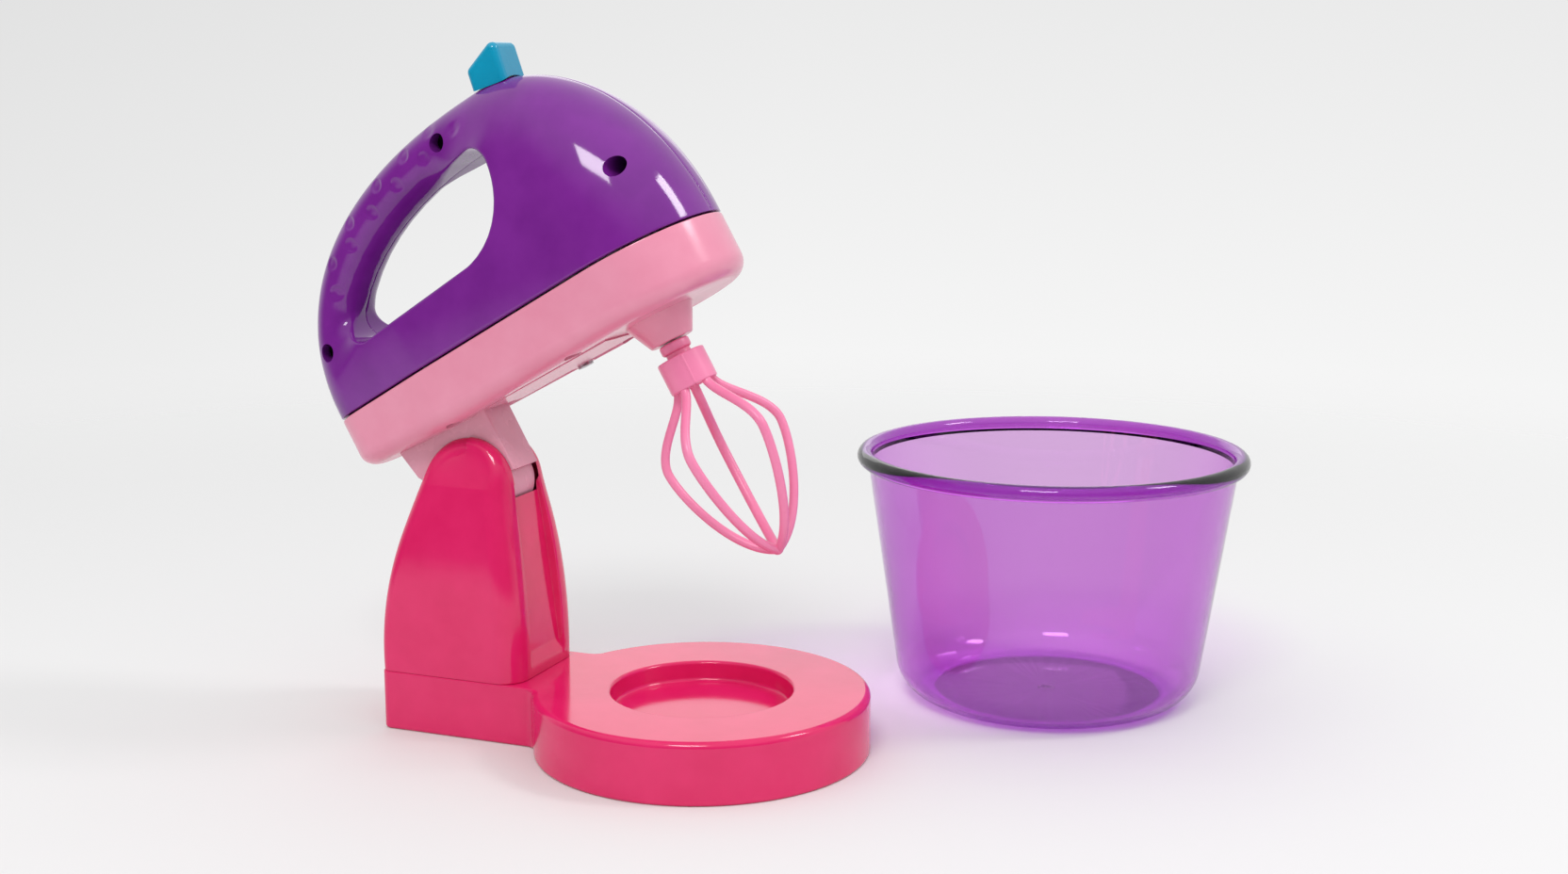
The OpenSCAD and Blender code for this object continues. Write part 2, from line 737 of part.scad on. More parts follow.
// Points of a spur gear's outline: involute flanks, thinned by the backlash
function gear_outline(teeth, play) =
    let (pitch_r = gear_module * teeth / 2, base_r = pitch_r * cos(20), tip_r = pitch_r + 0.8 * gear_module,
        root_r = pitch_r - 1.35 * gear_module, low_r = max(base_r, root_r), inv20 = tan(20) - 20 * PI / 180,
        half = 90 / teeth - play / (2 * pitch_r) * 180 / PI,
        flank = [for (i = [0 : 4]) let (r = mix(low_r, tip_r, i / 4), a = acos(min(1, base_r / r)),
            turn = half + (inv20 - (tan(a) - a * PI / 180)) * 180 / PI) [r, turn]],
        root_turn = flank[0][1])
    [for (k = [0 : teeth - 1]) let (c = 360 * k / teeth) each concat(
        [root_r * [cos(c - root_turn), sin(c - root_turn)]],
        [for (f = flank) f[0] * [cos(c - f[1]), sin(c - f[1])]],
        [for (i = [4 : -1 : 0]) let (f = flank[i]) f[0] * [cos(c + f[1]), sin(c + f[1])]],
        [root_r * [cos(c + root_turn), sin(c + root_turn)]])];

backlash = 0.12;
gear_screw_l = 10;

module spur(teeth, thick, phase) {
    linear_extrude(thick) rotate(phase) polygon(gear_outline(teeth, backlash));
}

module drive_gear() {
    color("white") head_frame() translate([spindle_p, 0, drive_q]) difference() {
        spur(wheel_teeth, drive_t, 180 / wheel_teeth);
        translate([0, 0, -cut]) cylinder(h = drive_t + 2 * cut, r = spindle_r + shaft_fit);
    }
}

module compound_gear() {
    color("white") head_frame() translate([axle_p, 0, 0]) difference() {
        union() {
            translate([0, 0, idler_q]) spur(pinion_teeth, wheel_q - idler_q + eps, 0);
            translate([0, 0, wheel_q]) spur(wheel_teeth, wheel_t, 180 / wheel_teeth);
        }
        translate([0, 0, idler_q - cut]) cylinder(h = tray_depth, r = gear_axle_r + shaft_fit);
    }
}

module motor_pinion() {
    color("gold") head_frame() translate([spindle_p, 0, wheel_q - 0.5]) difference() {
        spur(pinion_teeth, wheel_t + 1, 0);
        translate([0, 0, -cut]) cylinder(h = wheel_t + 1 + 2 * cut, r = motor_shaft_r + shaft_fit / 2);
    }
}

module motor_shaft() {
    low = wheel_q - 0.5;
    color("silver") head_frame() translate([spindle_p, 0, low])
        cylinder(h = motor_q + motor_l / 2 - low, r = motor_shaft_r);
}

module drive_spindle() {
    top = drive_q + drive_t + 1;
    color("silver") head_frame() translate([spindle_p, 0, collar_end_q + 3])
        cylinder(h = top - collar_end_q - 3, r = spindle_r);
}

module spindle_bush() {
    color("#E8E4DC") head_frame() translate([spindle_p, 0, 0]) difference() {
        union() {
            translate([0, 0, boss_end_q]) cylinder(h = floor_q - boss_end_q, r = bush_r);
            translate([0, 0, floor_q]) cylinder(h = bush_flange_h, r = bush_flange_r);
        }
        translate([0, 0, boss_end_q - cut]) cylinder(h = tray_depth, r = spindle_r + shaft_fit);
    }
}

module gear_axle() {
    color("silver") head_frame() translate([axle_p, 0, floor_q - 0.8])
        cylinder(h = plate_q + gear_plate_t - floor_q + 0.8, r = gear_axle_r);
}

// Outline of the motor can, enlarged by room
module motor_outline(room) {
    intersection() {
        circle(motor_d / 2 + room);
        square([motor_d + 2 * room, motor_flats + 2 * room], center = true);
    }
}

module gear_plate() {
    cup_h = 5;
    color("white") head_frame() translate([0, 0, plate_q]) difference() {
        union() {
            translate([front_p, 0, 0]) cylinder(h = gear_plate_t, r = gear_plate_r);
            translate([spindle_p, 0, 0]) linear_extrude(gear_plate_t + cup_h) motor_outline(1.6);
        }
        translate([spindle_p, 0, gear_plate_t]) linear_extrude(cup_h + cut) motor_outline(0.15);
        translate([spindle_p, 0, -cut]) cylinder(h = gear_plate_t + 2 * cut, r = 3.2);
        translate([axle_p, 0, -cut]) cylinder(h = gear_plate_t + 2 * cut, r = gear_axle_r + shaft_fit);
        at_gear_posts() translate([0, 0, -cut]) cylinder(h = gear_plate_t + 2 * cut, r = screw_r + shaft_fit);
    }
}

module gear_plate_screws() {
    color("silver") head_frame() at_gear_posts() translate([0, 0, motor_q]) rotate([180, 0, 0])
        screw_up(gear_plate_t + gear_screw_l);
}

module motor() {
    nose_h = 1.6;
    color("lightgray") head_frame() translate([spindle_p, 0, motor_q]) difference() {
        union() {
            linear_extrude(motor_l) motor_outline(0);
            translate([0, 0, -nose_h]) cylinder(h = nose_h + eps, r = 3);
            translate([0, 0, motor_l - eps]) cylinder(h = 2, r = 4);
        }
        translate([0, 0, -nose_h - cut])
            cylinder(h = nose_h + cut + motor_l / 2 + run_gap, r = motor_shaft_r + shaft_fit);
    }
}

// Housing: each half is a field of half widths over the side view, round the grip opening

// Circles along the edge of the opening, each as [place, height, radius]
grip_rear = [grip_rear_p, grip_rear_v, grip_rear_r];
grip_front = [grip_front_p, grip_front_v, grip_front_r];
grip_bend = [grip_bend_p, grip_bend_v, grip_bend_r];
grip_top = [grip_top_p, housing_h - grip_top_drop, grip_top_r];
grip_crown = [grip_crown_p, housing_h - grip_crown_drop, grip_crown_r];
// The upper side is a curve from the rear end over the crown to the top corner
upper_steps = 5;
grip_upper = [for (i = [0 : upper_steps]) let (t = i / upper_steps)
    mix(mix(grip_rear, grip_crown, t), mix(grip_crown, grip_top, t), t)];
grip_round = concat(grip_upper, [grip_bend, grip_front]);
// Sides between neighbours all the way round, and from the upper circles to the front, which fill the middle
grip_sides = concat(
    [for (i = [0 : len(grip_round) - 1]) [grip_round[i], grip_round[(i + 1) % len(grip_round)]]],
    [for (i = [1 : upper_steps - 1]) [grip_upper[i], grip_front]]);
// The rays that lay out the field start here, inside the opening
grip_middle = mix(mix(grip_rear, grip_crown, 0.5), mix(grip_crown, grip_top, 0.5), 0.5);
grip_hub = flat(mix(mix(grip_rear, grip_front, 0.6), grip_middle, 0.25));
// Directions from the hub between which body and handle blend
front_blend = [20, 60];
rear_blend = [178, 205];
top_stations = 48;
seam_stations = 24;
// Least half width, left square at the parting line
parting_lip = 0.6;
handle_screw_back = 9.7;
front_screw_in = 12;
front_screw_v = 22;
rear_screw_in = 11;
rear_screw_v = 20.3;
handle_screw = [grip_top_p - handle_screw_back, mix(grip_top[1] + grip_top_r, housing_h, 0.47)];
front_screw = [nose_p - front_screw_in, front_screw_v];
rear_screw = [tail_p + rear_screw_in, rear_screw_v];
housing_screw_depth = 4;
housing_screw_l = 12;
screw_tube_r = screw_hole_d / 2 + 1.5;

function flat(circle) = [circle[0], circle[1]];

// Distance from a point to a side of the opening, whose ends are circles of two sizes
function capsule_distance(point, a, b) =
    let (way = flat(b - a), l = norm(way), e = way / l, q = point - flat(a), y = q * e,
        x = abs(e[0] * q[1] - e[1] * q[0]), k = (a[2] - b[2]) / l, m = sqrt(1 - k * k), side = m * y - k * x)
    side < 0 ? norm(q) - a[2] : side > m * l ? norm(point - flat(b)) - b[2] : m * x + k * y - a[2];

function grip_distance(point) = min([for (s = grip_sides) capsule_distance(point, s[0], s[1])]);

// Height of the housing above the seam at place p, drawn in by inset
function housing_top(p, inset) =
    let (h = housing_h - inset)
    p > peak_p ? h * sqrt(max(0, 1 - pow((p - peak_p) / (nose_p - inset - peak_p), 2))) :
    h * pow(max(0, 1 - pow((peak_p - p) / (peak_p - tail_p - inset), rear_power)), 1 / rear_power);

function in_housing(point, inset, drop) =
    point[1] > -drop && point[0] > tail_p + inset && point[0] < nose_p - inset
    && (point[1] <= 0 || point[1] < housing_top(point[0], inset));

function body_share(angle) = angle < 130
    ? 1 - smooth((angle - front_blend[0]) / (front_blend[1] - front_blend[0]))
    : smooth((angle - rear_blend[0]) / (rear_blend[1] - rear_blend[0]));

// One ray: its direction, and where it leaves the opening and the housing
function housing_ray(angle, inset, drop) =
    let (way = [cos(angle), sin(angle)], far = 2 * nose_p,
        start = last_inside(function (t) grip_distance(grip_hub + way * t) < inset, 0, far),
        end = last_inside(function (t) in_housing(grip_hub + way * t, inset, drop), 0, far))
    [angle, grip_hub + way * start, grip_hub + way * end];

// Half width of the housing at share s of a ray, from the opening to the outline
function housing_hw(ray, s, inset) =
    let (point = mix(ray[1], ray[2], s), top = max(eps, housing_top(point[0], inset)),
        rise = min(1, max(0, point[1]) / top),
        body = plan_hw(point[0], inset) * pow(max(0, 1 - pow(rise, section_power)), 1 / section_power),
        grip = (handle_w / 2 - inset) * sqrt(max(0, 1 - pow(2 * s - 1, 2))))
    max(parting_lip, mix(grip, body, body_share(ray[0])));

// Half width at a point of the side view
function surface_hw(point) =
    let (d = point - grip_hub, ray = housing_ray(atan2(d[1], d[0]) + (d[0] < 0 && d[1] < 0 ? 360 : 0), 0, 0),
        s = (norm(d) - norm(ray[1] - grip_hub)) / norm(ray[2] - ray[1]))
    housing_hw(ray, s, 0);

// Solid between the plane y = low and the field of half widths
module housing_field(inset, drop, low, steps) {
    nose_angle = atan2(-drop - grip_hub[1], nose_p - inset - grip_hub[0]);
    tail_angle = 360 + atan2(-drop - grip_hub[1], tail_p + inset - grip_hub[0]);
    over = [for (i = [0 : top_stations - 1]) mix(nose_angle, tail_angle, i / top_stations)];
    // Along the seam the rays crowd towards both ends, where the plan is round
    under = [for (i = [0 : seam_stations - 1]) let (share = (1 - cos(180 * i / seam_stations)) / 2)
        360 + atan2(-drop - grip_hub[1], mix(tail_p + inset, nose_p - inset, share) - grip_hub[0])];
    rays = [for (angle = concat(over, under)) housing_ray(angle, inset, drop)];
    shares = [for (j = [0 : steps]) (1 - cos(180 * j / steps)) / 2];
    ring_solid(concat([[for (ray = rays) [ray[1][0], low, ray[1][1]]]],
        [for (s = shares) [for (ray = rays) let (point = mix(ray[1], ray[2], s))
            [point[0], housing_hw(ray, s, inset), point[1]]]],
        [[for (ray = rays) [ray[2][0], low, ray[2][1]]]]));
}

module at_housing_screws() {
    for (spot = [handle_screw, front_screw, rear_screw]) translate([spot[0], 0, spot[1]]) children();
}

// The left half; the right half is its mirror image
module housing_half() {
    difference() {
        housing_field(0, 0, parting_gap / 2, 8);
        housing_field(housing_wall, cut, -cut, 5);
    }
    for (spot = [handle_screw, front_screw, rear_screw]) translate([spot[0], 0, spot[1]])
        bar_y(parting_gap / 2, surface_hw(spot) - housing_wall / 2, screw_tube_r);
    for (spot = [tray_screw_rear, tray_screw_front]) difference() {
        union() {
            translate([spot[0], spot[1], 0]) cylinder(h = 12, r = post_r);
            translate([spot[0] - 1, spot[1], 0])
                cube([2, plan_hw(spot[0], 0) - housing_wall / 2 - spot[1], 11]);
        }
        translate([spot[0], spot[1], -cut]) cylinder(h = cut + 9, r = screw_r + shaft_fit);
    }
}

module knob_slot() {
    slide_frame() translate([-stem_l / 2 - run_gap, -stem_w / 2 - run_gap, -3 * housing_wall])
        cube([stem_l + knob_travel + 2 * run_gap, stem_w + 2 * run_gap, 6 * housing_wall]);
}

module housing_left() {
    color("#7E2496") head_frame() translate([0, 0, seam_q]) difference() {
        union() {
            housing_half();
            intersection() {
                slide_frame() translate([switch_t0 + 1, -switch_hw - 0.5, shelf_n - shelf_t])
                    cube([switch_l - 1, switch_hw + 0.5 + front_r, shelf_t]);
                housing_field(housing_wall / 2, 0, -switch_hw - 0.5, 8);
            }
        }
        knob_slot();
        at_housing_screws() bar_y(-cut, housing_screw_l - housing_screw_depth + 0.5, screw_r + shaft_fit);
    }
}

module housing_right() {
    color("#7E2496") head_frame() translate([0, 0, seam_q]) difference() {
        mirror([0, 1, 0]) housing_half();
        knob_slot();
        at_housing_screws() {
            bar_y(-3 * housing_screw_l, -housing_screw_depth, screw_hole_d / 2);
            bar_y(-3 * housing_screw_l, cut, screw_r + shaft_fit);
        }
    }
}

module housing_screws() {
    color("dimgray") head_frame() translate([0, 0, seam_q]) at_housing_screws()
        translate([0, -housing_screw_depth, 0]) rotate([-90, 0, 0]) screw_up(housing_screw_l);
}

// Switch

knob_x = (knob_p - peak_p) / (nose_p - peak_p);
knob_slope = atan(-housing_h / (nose_p - peak_p) * knob_x / sqrt(1 - knob_x * knob_x));
saddle_r = 18;
knob_edge_r = 2.2;
stem_l = 4;
stem_w = 4;
switch_t0 = -5;
switch_l = 17;
switch_hw = 5;
switch_top_n = -9.5;
shelf_n = -16;
shelf_t = 2;
groove_n = -13;

// Axes of the knob's slide, above the seam: X along the housing's top, Z square to it
module slide_frame() {
    translate([knob_p, 0, housing_top(knob_p, 0)]) rotate([0, -knob_slope, 0]) children();
}

module switch_knob() {
    half_l = knob_l / 2 - knob_edge_r;
    half_w = knob_w / 2 - knob_edge_r;
    color("#0A93BC") head_frame() translate([0, 0, seam_q]) slide_frame() {
        difference() {
            hull() for (side = [-1, 1]) {
                translate([-half_l, side * half_w, -2]) cylinder(h = 1, r = knob_edge_r, $fn = hull_fn);
                translate([half_l, side * half_w, -2]) cylinder(h = 1, r = knob_edge_r, $fn = hull_fn);
                translate([-half_l, side * half_w, knob_rear_h - knob_edge_r]) sphere(knob_edge_r, $fn = 20);
                translate([half_l, side * half_w, knob_front_h - knob_edge_r]) sphere(knob_edge_r, $fn = 20);
            }
            translate([-knob_l, 0, run_gap - saddle_r]) rotate([0, 90, 0])
                cylinder(h = 2 * knob_l, r = saddle_r);
        }
        translate([-stem_l / 2, -stem_w / 2, groove_n + run_gap])
            cube([stem_l, stem_w, 2 - groove_n - run_gap]);
    }
}

module slide_switch() {
    color("dimgray") head_frame() translate([0, 0, seam_q]) slide_frame() difference() {
        translate([switch_t0, -switch_hw, shelf_n]) cube([switch_l, 2 * switch_hw, switch_top_n - shelf_n]);
        translate([-stem_l / 2 - run_gap, -stem_w / 2 - run_gap, groove_n])
            cube([stem_l + knob_travel + 2 * run_gap, stem_w + 2 * run_gap, -groove_n]);
    }
}

// Whisk

function bezier(a, b, c, d, t) =
    a * pow(1 - t, 3) + 3 * b * t * pow(1 - t, 2) + 3 * c * t * t * (1 - t) + d * pow(t, 3);

wire_root_r = 6;
wire_tip_r = 0.9;
wire_steps = 7;
tip_r = 1.9;

// Middle of a wire, as radius and depth below the collar
function wire_path() =
    let (belly = [whisk_belly_r, whisk_belly_drop], tip = [wire_tip_r, whisk_drop],
        rest = whisk_drop - whisk_belly_drop)
    concat([[wire_root_r - 1, -2]],
        [for (i = [0 : wire_steps - 1]) bezier([wire_root_r, 0], [wire_root_r + 1.5, 0.28 * whisk_belly_drop],
            belly - [0.5, 0.4 * whisk_belly_drop], belly, i / wire_steps)],
        [for (i = [0 : wire_steps]) bezier(belly, belly + [0, 0.235 * rest],
            [0.625 * whisk_belly_r, whisk_drop - 0.15 * rest], tip, i / wire_steps)]);

// Round tube of the given sides along a path in radius and depth
module wire(path, r, sides) {
    last = len(path) - 1;
    rings = [for (i = [0 : last])
        let (ahead = path[min(i + 1, last)] - path[max(i - 1, 0)],
            across = [ahead[1], -ahead[0]] / norm(ahead))
        [for (k = [0 : sides - 1]) let (a = 360 * k / sides, spot = path[i] + across * r * cos(a))
            [spot[0], r * sin(a), -spot[1]]]];
    walls = [for (i = [0 : last - 1], k = [0 : sides - 1])
        let (a = i * sides + k, b = i * sides + (k + 1) % sides)
        each [[a, b, a + sides], [b, b + sides, a + sides]]];
    end = last * sides;
    caps = [for (k = [1 : sides - 2]) each [[0, k + 1, k], [end, end + k, end + k + 1]]];
    polyhedron([for (ring = rings) each ring], concat(walls, caps));
}

module whisk() {
    bore_q = collar_end_q + 3 - run_gap;
    color("#F290B8") head_frame() translate([spindle_p, 0, 0]) difference() {
        union() {
            translate([0, 0, boss_end_q - run_gap - ring_h]) cylinder(h = ring_h, r = ring_d / 2);
            translate([0, 0, collar_top_q - eps])
                cylinder(h = boss_end_q - run_gap - collar_top_q, r = whisk_neck_d / 2);
            translate([0, 0, collar_end_q]) cylinder(h = collar_l, r = collar_d / 2);
            translate([0, 0, collar_end_q]) for (i = [0 : wire_count - 1])
                rotate([0, 0, 360 * (i + 0.5) / wire_count]) wire(wire_path(), wire_d / 2, 8);
            translate([0, 0, collar_end_q - whisk_drop]) sphere(tip_r);
        }
        translate([0, 0, bore_q]) cylinder(h = tray_depth, r = spindle_r + shaft_fit);
    }
}

// Bowl

bowl_away = disc_r + bowl_gap + bowl_rim_r;
bowl_top_r = bowl_rim_r - bead_r - 0.7;
bead_z = bowl_h - bead_r;
bowl_lean = atan((bowl_top_r - bowl_low_r) / (bead_z - bowl_corner_r));

module bowl() {
    corner = [bowl_low_r - bowl_corner_r * cos(bowl_lean), bowl_corner_r];
    middle = bowl_away * [cos(bowl_bearing), sin(bowl_bearing), 0];
    color("#9C3BB5", 0.5) translate(middle) rotate_extrude() {
        polygon(concat([[0, 0]], arc(corner, bowl_corner_r, -90, -bowl_lean, 10), [[bowl_top_r, bead_z],
            [bowl_top_r - bowl_wall, bead_z]], arc(corner, bowl_corner_r - bowl_wall, -bowl_lean, -90, 10),
            [[0, bowl_wall]]));
        translate([bowl_rim_r - bead_r, bead_z]) circle(bead_r);
    }
}

base();
base_plate();
base_screws();
column();
column_screws();
hinge_pin();
hinge_pin_cap();
neck();
neck_screws();
lower_tray();
tray_screws();
battery_door();
battery_door_screw();
batteries();
battery_contacts();
housing_left();
housing_right();
housing_screws();
slide_switch();
switch_knob();
motor();
motor_shaft();
motor_pinion();
gear_plate();
gear_plate_screws();
gear_axle();
compound_gear();
drive_gear();
drive_spindle();
spindle_bush();
whisk();
bowl();
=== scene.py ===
# %% [markdown]
# A toy stand mixer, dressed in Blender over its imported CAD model.
# The CAD model gives each piece its place, its size and the body that it moves with.
# This lesson rebuilds the moulded pieces with finer surfaces and gives every piece its finish.

# %% Load the frame
import math

import bmesh
import bpy
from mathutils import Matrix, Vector


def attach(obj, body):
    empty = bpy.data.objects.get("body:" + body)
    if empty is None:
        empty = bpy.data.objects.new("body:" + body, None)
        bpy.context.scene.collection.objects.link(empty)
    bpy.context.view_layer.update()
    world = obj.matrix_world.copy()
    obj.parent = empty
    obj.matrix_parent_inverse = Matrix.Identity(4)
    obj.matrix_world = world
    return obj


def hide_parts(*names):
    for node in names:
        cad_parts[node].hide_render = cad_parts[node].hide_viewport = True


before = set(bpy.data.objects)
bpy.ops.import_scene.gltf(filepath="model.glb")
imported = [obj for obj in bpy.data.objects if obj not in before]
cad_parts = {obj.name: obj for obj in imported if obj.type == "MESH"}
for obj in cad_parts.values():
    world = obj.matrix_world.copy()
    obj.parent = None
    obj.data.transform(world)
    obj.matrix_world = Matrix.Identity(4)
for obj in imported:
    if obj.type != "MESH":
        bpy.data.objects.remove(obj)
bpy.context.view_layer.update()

# %% [markdown]
# The photograph was taken from a little above the disc, from the right of the mixer.
# The camera's place and lens were worked out from points of the base and the head.
# Lengths are written in millimetres, as on a drawing, and turned to metres at the end.

# %% Camera
MM = 0.001
SCENE = bpy.context.scene
SCENE.view_settings.view_transform = "Standard"
SCENE.cycles.max_bounces = 32
SCENE.cycles.transmission_bounces = 32
CAMERA_SPOT = Vector((241.26, -544.21, 207.77)) * MM
CAMERA_AIM = Vector((-0.35995, 0.91505, -0.18201))

camera_data = bpy.data.cameras.new("camera")
camera_data.sensor_width = 36
camera_data.lens = 46.11
camera = bpy.data.objects.new("camera", camera_data)
camera.location = CAMERA_SPOT
camera.rotation_euler = CAMERA_AIM.to_track_quat("-Z", "Y").to_euler()
SCENE.collection.objects.link(camera)
SCENE.camera = camera
print("camera at", [round(c, 3) for c in camera.location])

# %% [markdown]
# All the pieces are injection moulded, so their colour is in the plastic and not painted on.
# A few small functions are enough for every finish: one turns a written colour to linear light,
# one adds a node with its settings and links, and one each makes the plastics and the metals.

# %% Colour and node helpers


def linear(written):
    """Linear colour of an sRGB value such as #7E2496."""
    shares = [int(written[i:i + 2], 16) / 255 for i in (1, 3, 5)]
    return [s / 12.92 if s <= 0.04045 else ((s + 0.055) / 1.055) ** 2.4 for s in shares] + [1.0]


def add_node(tree, kind, settings=None, links=None):
    """Adds a node, sets its properties and sockets, and links other nodes' outputs to its inputs."""
    node = tree.nodes.new("ShaderNode" + kind)
    for name, value in (settings or {}).items():
        if isinstance(name, int) or name in node.inputs:
            node.inputs[name].default_value = value
        else:
            setattr(node, name, value)
    for name, (source, output) in (links or {}).items():
        tree.links.new(source.outputs[output], node.inputs[name])
    return node


def empty_material(name):
    """A new material with no nodes yet."""
    material = bpy.data.materials.new(name)
    material.use_nodes = True
    material.node_tree.nodes.clear()
    return material


print("a written mid grey is", round(linear("#808080")[0], 3), "in linear light")

# %% [markdown]
# Glossy ABS comes out of a polished mould. Up close it isn't a perfect mirror:
# the surface has a faint waviness several millimetres wide, where the plastic shrank unevenly,
# and a fine orange-peel grain. The pigment has slight flow marks, a little lighter or darker.
# A real grain of about 0.2 mm is too fine to show here, so it is drawn at 0.9 mm.

# %% Moulded plastic
FLOW_MM, POLISH_MM, GRAIN_MM, GRAIN_LIFT = 14, 6, 0.9, 0.012
UNEVEN_POLISH = 0.03


def noise(tree, place, size_mm, detail, rough=0.5):
    """A noise pattern that repeats about once in the given length."""
    return add_node(tree, "TexNoise",
                    {"Scale": 1000 / size_mm, "Detail": detail, "Roughness": rough},
                    {"Vector": (place, "Object")})


def moulded_plastic(name, dark, light, rough):
    """Plastic with flow marks in its colour, an uneven polish and a fine grain."""
    material = empty_material(name)
    tree = material.node_tree
    place = add_node(tree, "TexCoord")
    flow = noise(tree, place, FLOW_MM, 3.0, 0.55)
    tint = add_node(tree, "ValToRGB", links={"Fac": (flow, "Fac")})
    tint.color_ramp.elements[0].position = 0.3
    tint.color_ramp.elements[0].color = linear(dark)
    tint.color_ramp.elements[1].position = 0.7
    tint.color_ramp.elements[1].color = linear(light)
    polish = noise(tree, place, POLISH_MM, 2.0)
    haze = add_node(tree, "MapRange",
                    {"To Min": rough - UNEVEN_POLISH, "To Max": rough + UNEVEN_POLISH},
                    {"Value": (polish, "Fac")})
    grain = noise(tree, place, GRAIN_MM, 1.0)
    peel = add_node(tree, "Bump", {"Strength": 0.25, "Distance": GRAIN_LIFT * MM},
                    {"Height": (grain, "Fac")})
    shader = add_node(tree, "BsdfPrincipled", {"IOR": 1.53},
                      {"Base Color": (tint, "Color"), "Roughness": (haze, "Result"),
                       "Normal": (peel, "Normal")})
    add_node(tree, "OutputMaterial", links={"Surface": (shader, "BSDF")})
    return material


purple_abs = moulded_plastic("glossy_purple_abs", "#741E8A", "#7E2694", 0.08)
pink_abs = moulded_plastic("glossy_pink_abs", "#E78EA9", "#EB97B1", 0.2)
pale_pink_abs = moulded_plastic("satin_pale_pink_abs", "#E09EB2", "#E4A6B9", 0.27)
magenta_abs = moulded_plastic("glossy_magenta_abs", "#DB1A60", "#E22368", 0.12)
teal_abs = moulded_plastic("glossy_teal_abs", "#008FB3", "#0399BE", 0.15)
whisk_plastic = moulded_plastic("satin_pink_polypropylene", "#F081AC", "#F489B2", 0.3)
white_acetal = moulded_plastic("natural_white_acetal", "#E9E6DE", "#F1EFE8", 0.4)
black_plastic = moulded_plastic("black_switch_nylon", "#131315", "#1B1B1E", 0.45)
print("plastics:", purple_abs.name, pink_abs.name, pale_pink_abs.name, magenta_abs.name, teal_abs.name)

# %% [markdown]
# The screws, the hinge pin and the motor can are zinc-plated or drawn steel, and the pinion is turned brass.
# Both are metals, so their colour is the colour of their reflection.
# Fine turning marks run round them; at 0.05 mm they are too fine to show, so they are drawn at 0.6 mm.

# %% Plated steel, brass and the battery jacket
TURNING_MM = 0.6


def worked_metal(name, dark, light, rough):
    """Bare metal with fine marks left by its making."""
    material = empty_material(name)
    tree = material.node_tree
    place = add_node(tree, "TexCoord")
    marks = noise(tree, place, TURNING_MM, 4.0)
    tint = add_node(tree, "ValToRGB", links={"Fac": (marks, "Fac")})
    tint.color_ramp.elements[0].color = linear(dark)
    tint.color_ramp.elements[1].color = linear(light)
    dull = add_node(tree, "MapRange", {"To Min": rough - 0.06, "To Max": rough + 0.08},
                    {"Value": (marks, "Fac")})
    shader = add_node(tree, "BsdfPrincipled", {"Metallic": 1.0},
                      {"Base Color": (tint, "Color"), "Roughness": (dull, "Result")})
    add_node(tree, "OutputMaterial", links={"Surface": (shader, "BSDF")})
    return material


plated_steel = worked_metal("zinc_plated_steel", "#9A9A9E", "#C6C6C9", 0.32)
# Painted shade: the screws deep in the housing's holes are drawn nearly black, so that the holes look as dark
# as their shade.
hole_shade_screw_steel = worked_metal("screw_steel_dark_for_hole_shade", "#1C1C1E", "#2C2C2F", 0.4)
turned_brass = worked_metal("turned_brass", "#B88F3C", "#DAB465", 0.3)
cell_jacket = moulded_plastic("grey_shrink_film", "#3A3A3E", "#46464B", 0.35)
print("metals:", plated_steel.name, turned_brass.name)

# %% [markdown]
# The bowl is clear polystyrene with a purple dye. Dyed plastic takes its colour from what the light
# passes through, so thick places, such as the rim bead seen from its side, look darker.
# Glass with an absorbing inside gives that. The lamps would have to find their way through the glass
# by chance, so rays that only ask about shadow meet a tinted transparent sheet instead.

# %% Clear dyed polystyrene
clear_purple = empty_material("clear_purple_polystyrene")
tree = clear_purple.node_tree
place = add_node(tree, "TexCoord")
swirl = noise(tree, place, 30, 2.0)
ripple = add_node(tree, "Bump", {"Strength": 0.15, "Distance": 0.05 * MM},
                  {"Height": (swirl, "Fac")})
clear = add_node(tree, "BsdfPrincipled",
                 {"Base Color": linear("#FFFFFF"), "Roughness": 0.03, "IOR": 1.5,
                  "Transmission Weight": 1.0, "Specular IOR Level": 0.5},
                 {"Normal": (ripple, "Normal")})
dye = add_node(tree, "VolumeAbsorption", {"Color": linear("#DC4AE8"), "Density": 533.0})
tinted = add_node(tree, "BsdfTransparent", {"Color": linear("#F6EAFB")})
rays = add_node(tree, "LightPath")
either = add_node(tree, "MixShader",
                  links={0: (rays, "Is Shadow Ray"), 1: (clear, "BSDF"), 2: (tinted, "BSDF")})
add_node(tree, "OutputMaterial", links={"Surface": (either, "Shader"), "Volume": (dye, "Volume")})
print("clear plastic:", clear_purple.name)

# %% [markdown]
# The head leans back on its hinge by 29 degrees, as in the photograph.
# Its pieces are drawn square to their own seam, with p along the head, y across it and q up from the hinge,
# and one function turns such a point to the shared frame. A second function makes an object from points
# and faces and welds what coincides. A third keeps edges sharp only where they are meant to be,
# and lets each piece ride on its body and stand for its CAD solid.

# %% Frame of the head, and pieces from points
TILT = math.radians(29)
HINGE_X, HINGE_Z = -71.0, 79.0
SEAM_Q = 39.5
WELD, SLIVER = 0.002 * MM, 0.001 * MM


def rotated(x, y, angle):
    """A flat point, turned about the origin."""
    return x * math.cos(angle) - y * math.sin(angle), x * math.sin(angle) + y * math.cos(angle)


def head_point(p, y, q):
    """A point of the head's own frame, in the shared frame."""
    x, z = rotated(p, q, TILT)
    return Vector((HINGE_X + x, y, HINGE_Z + z))


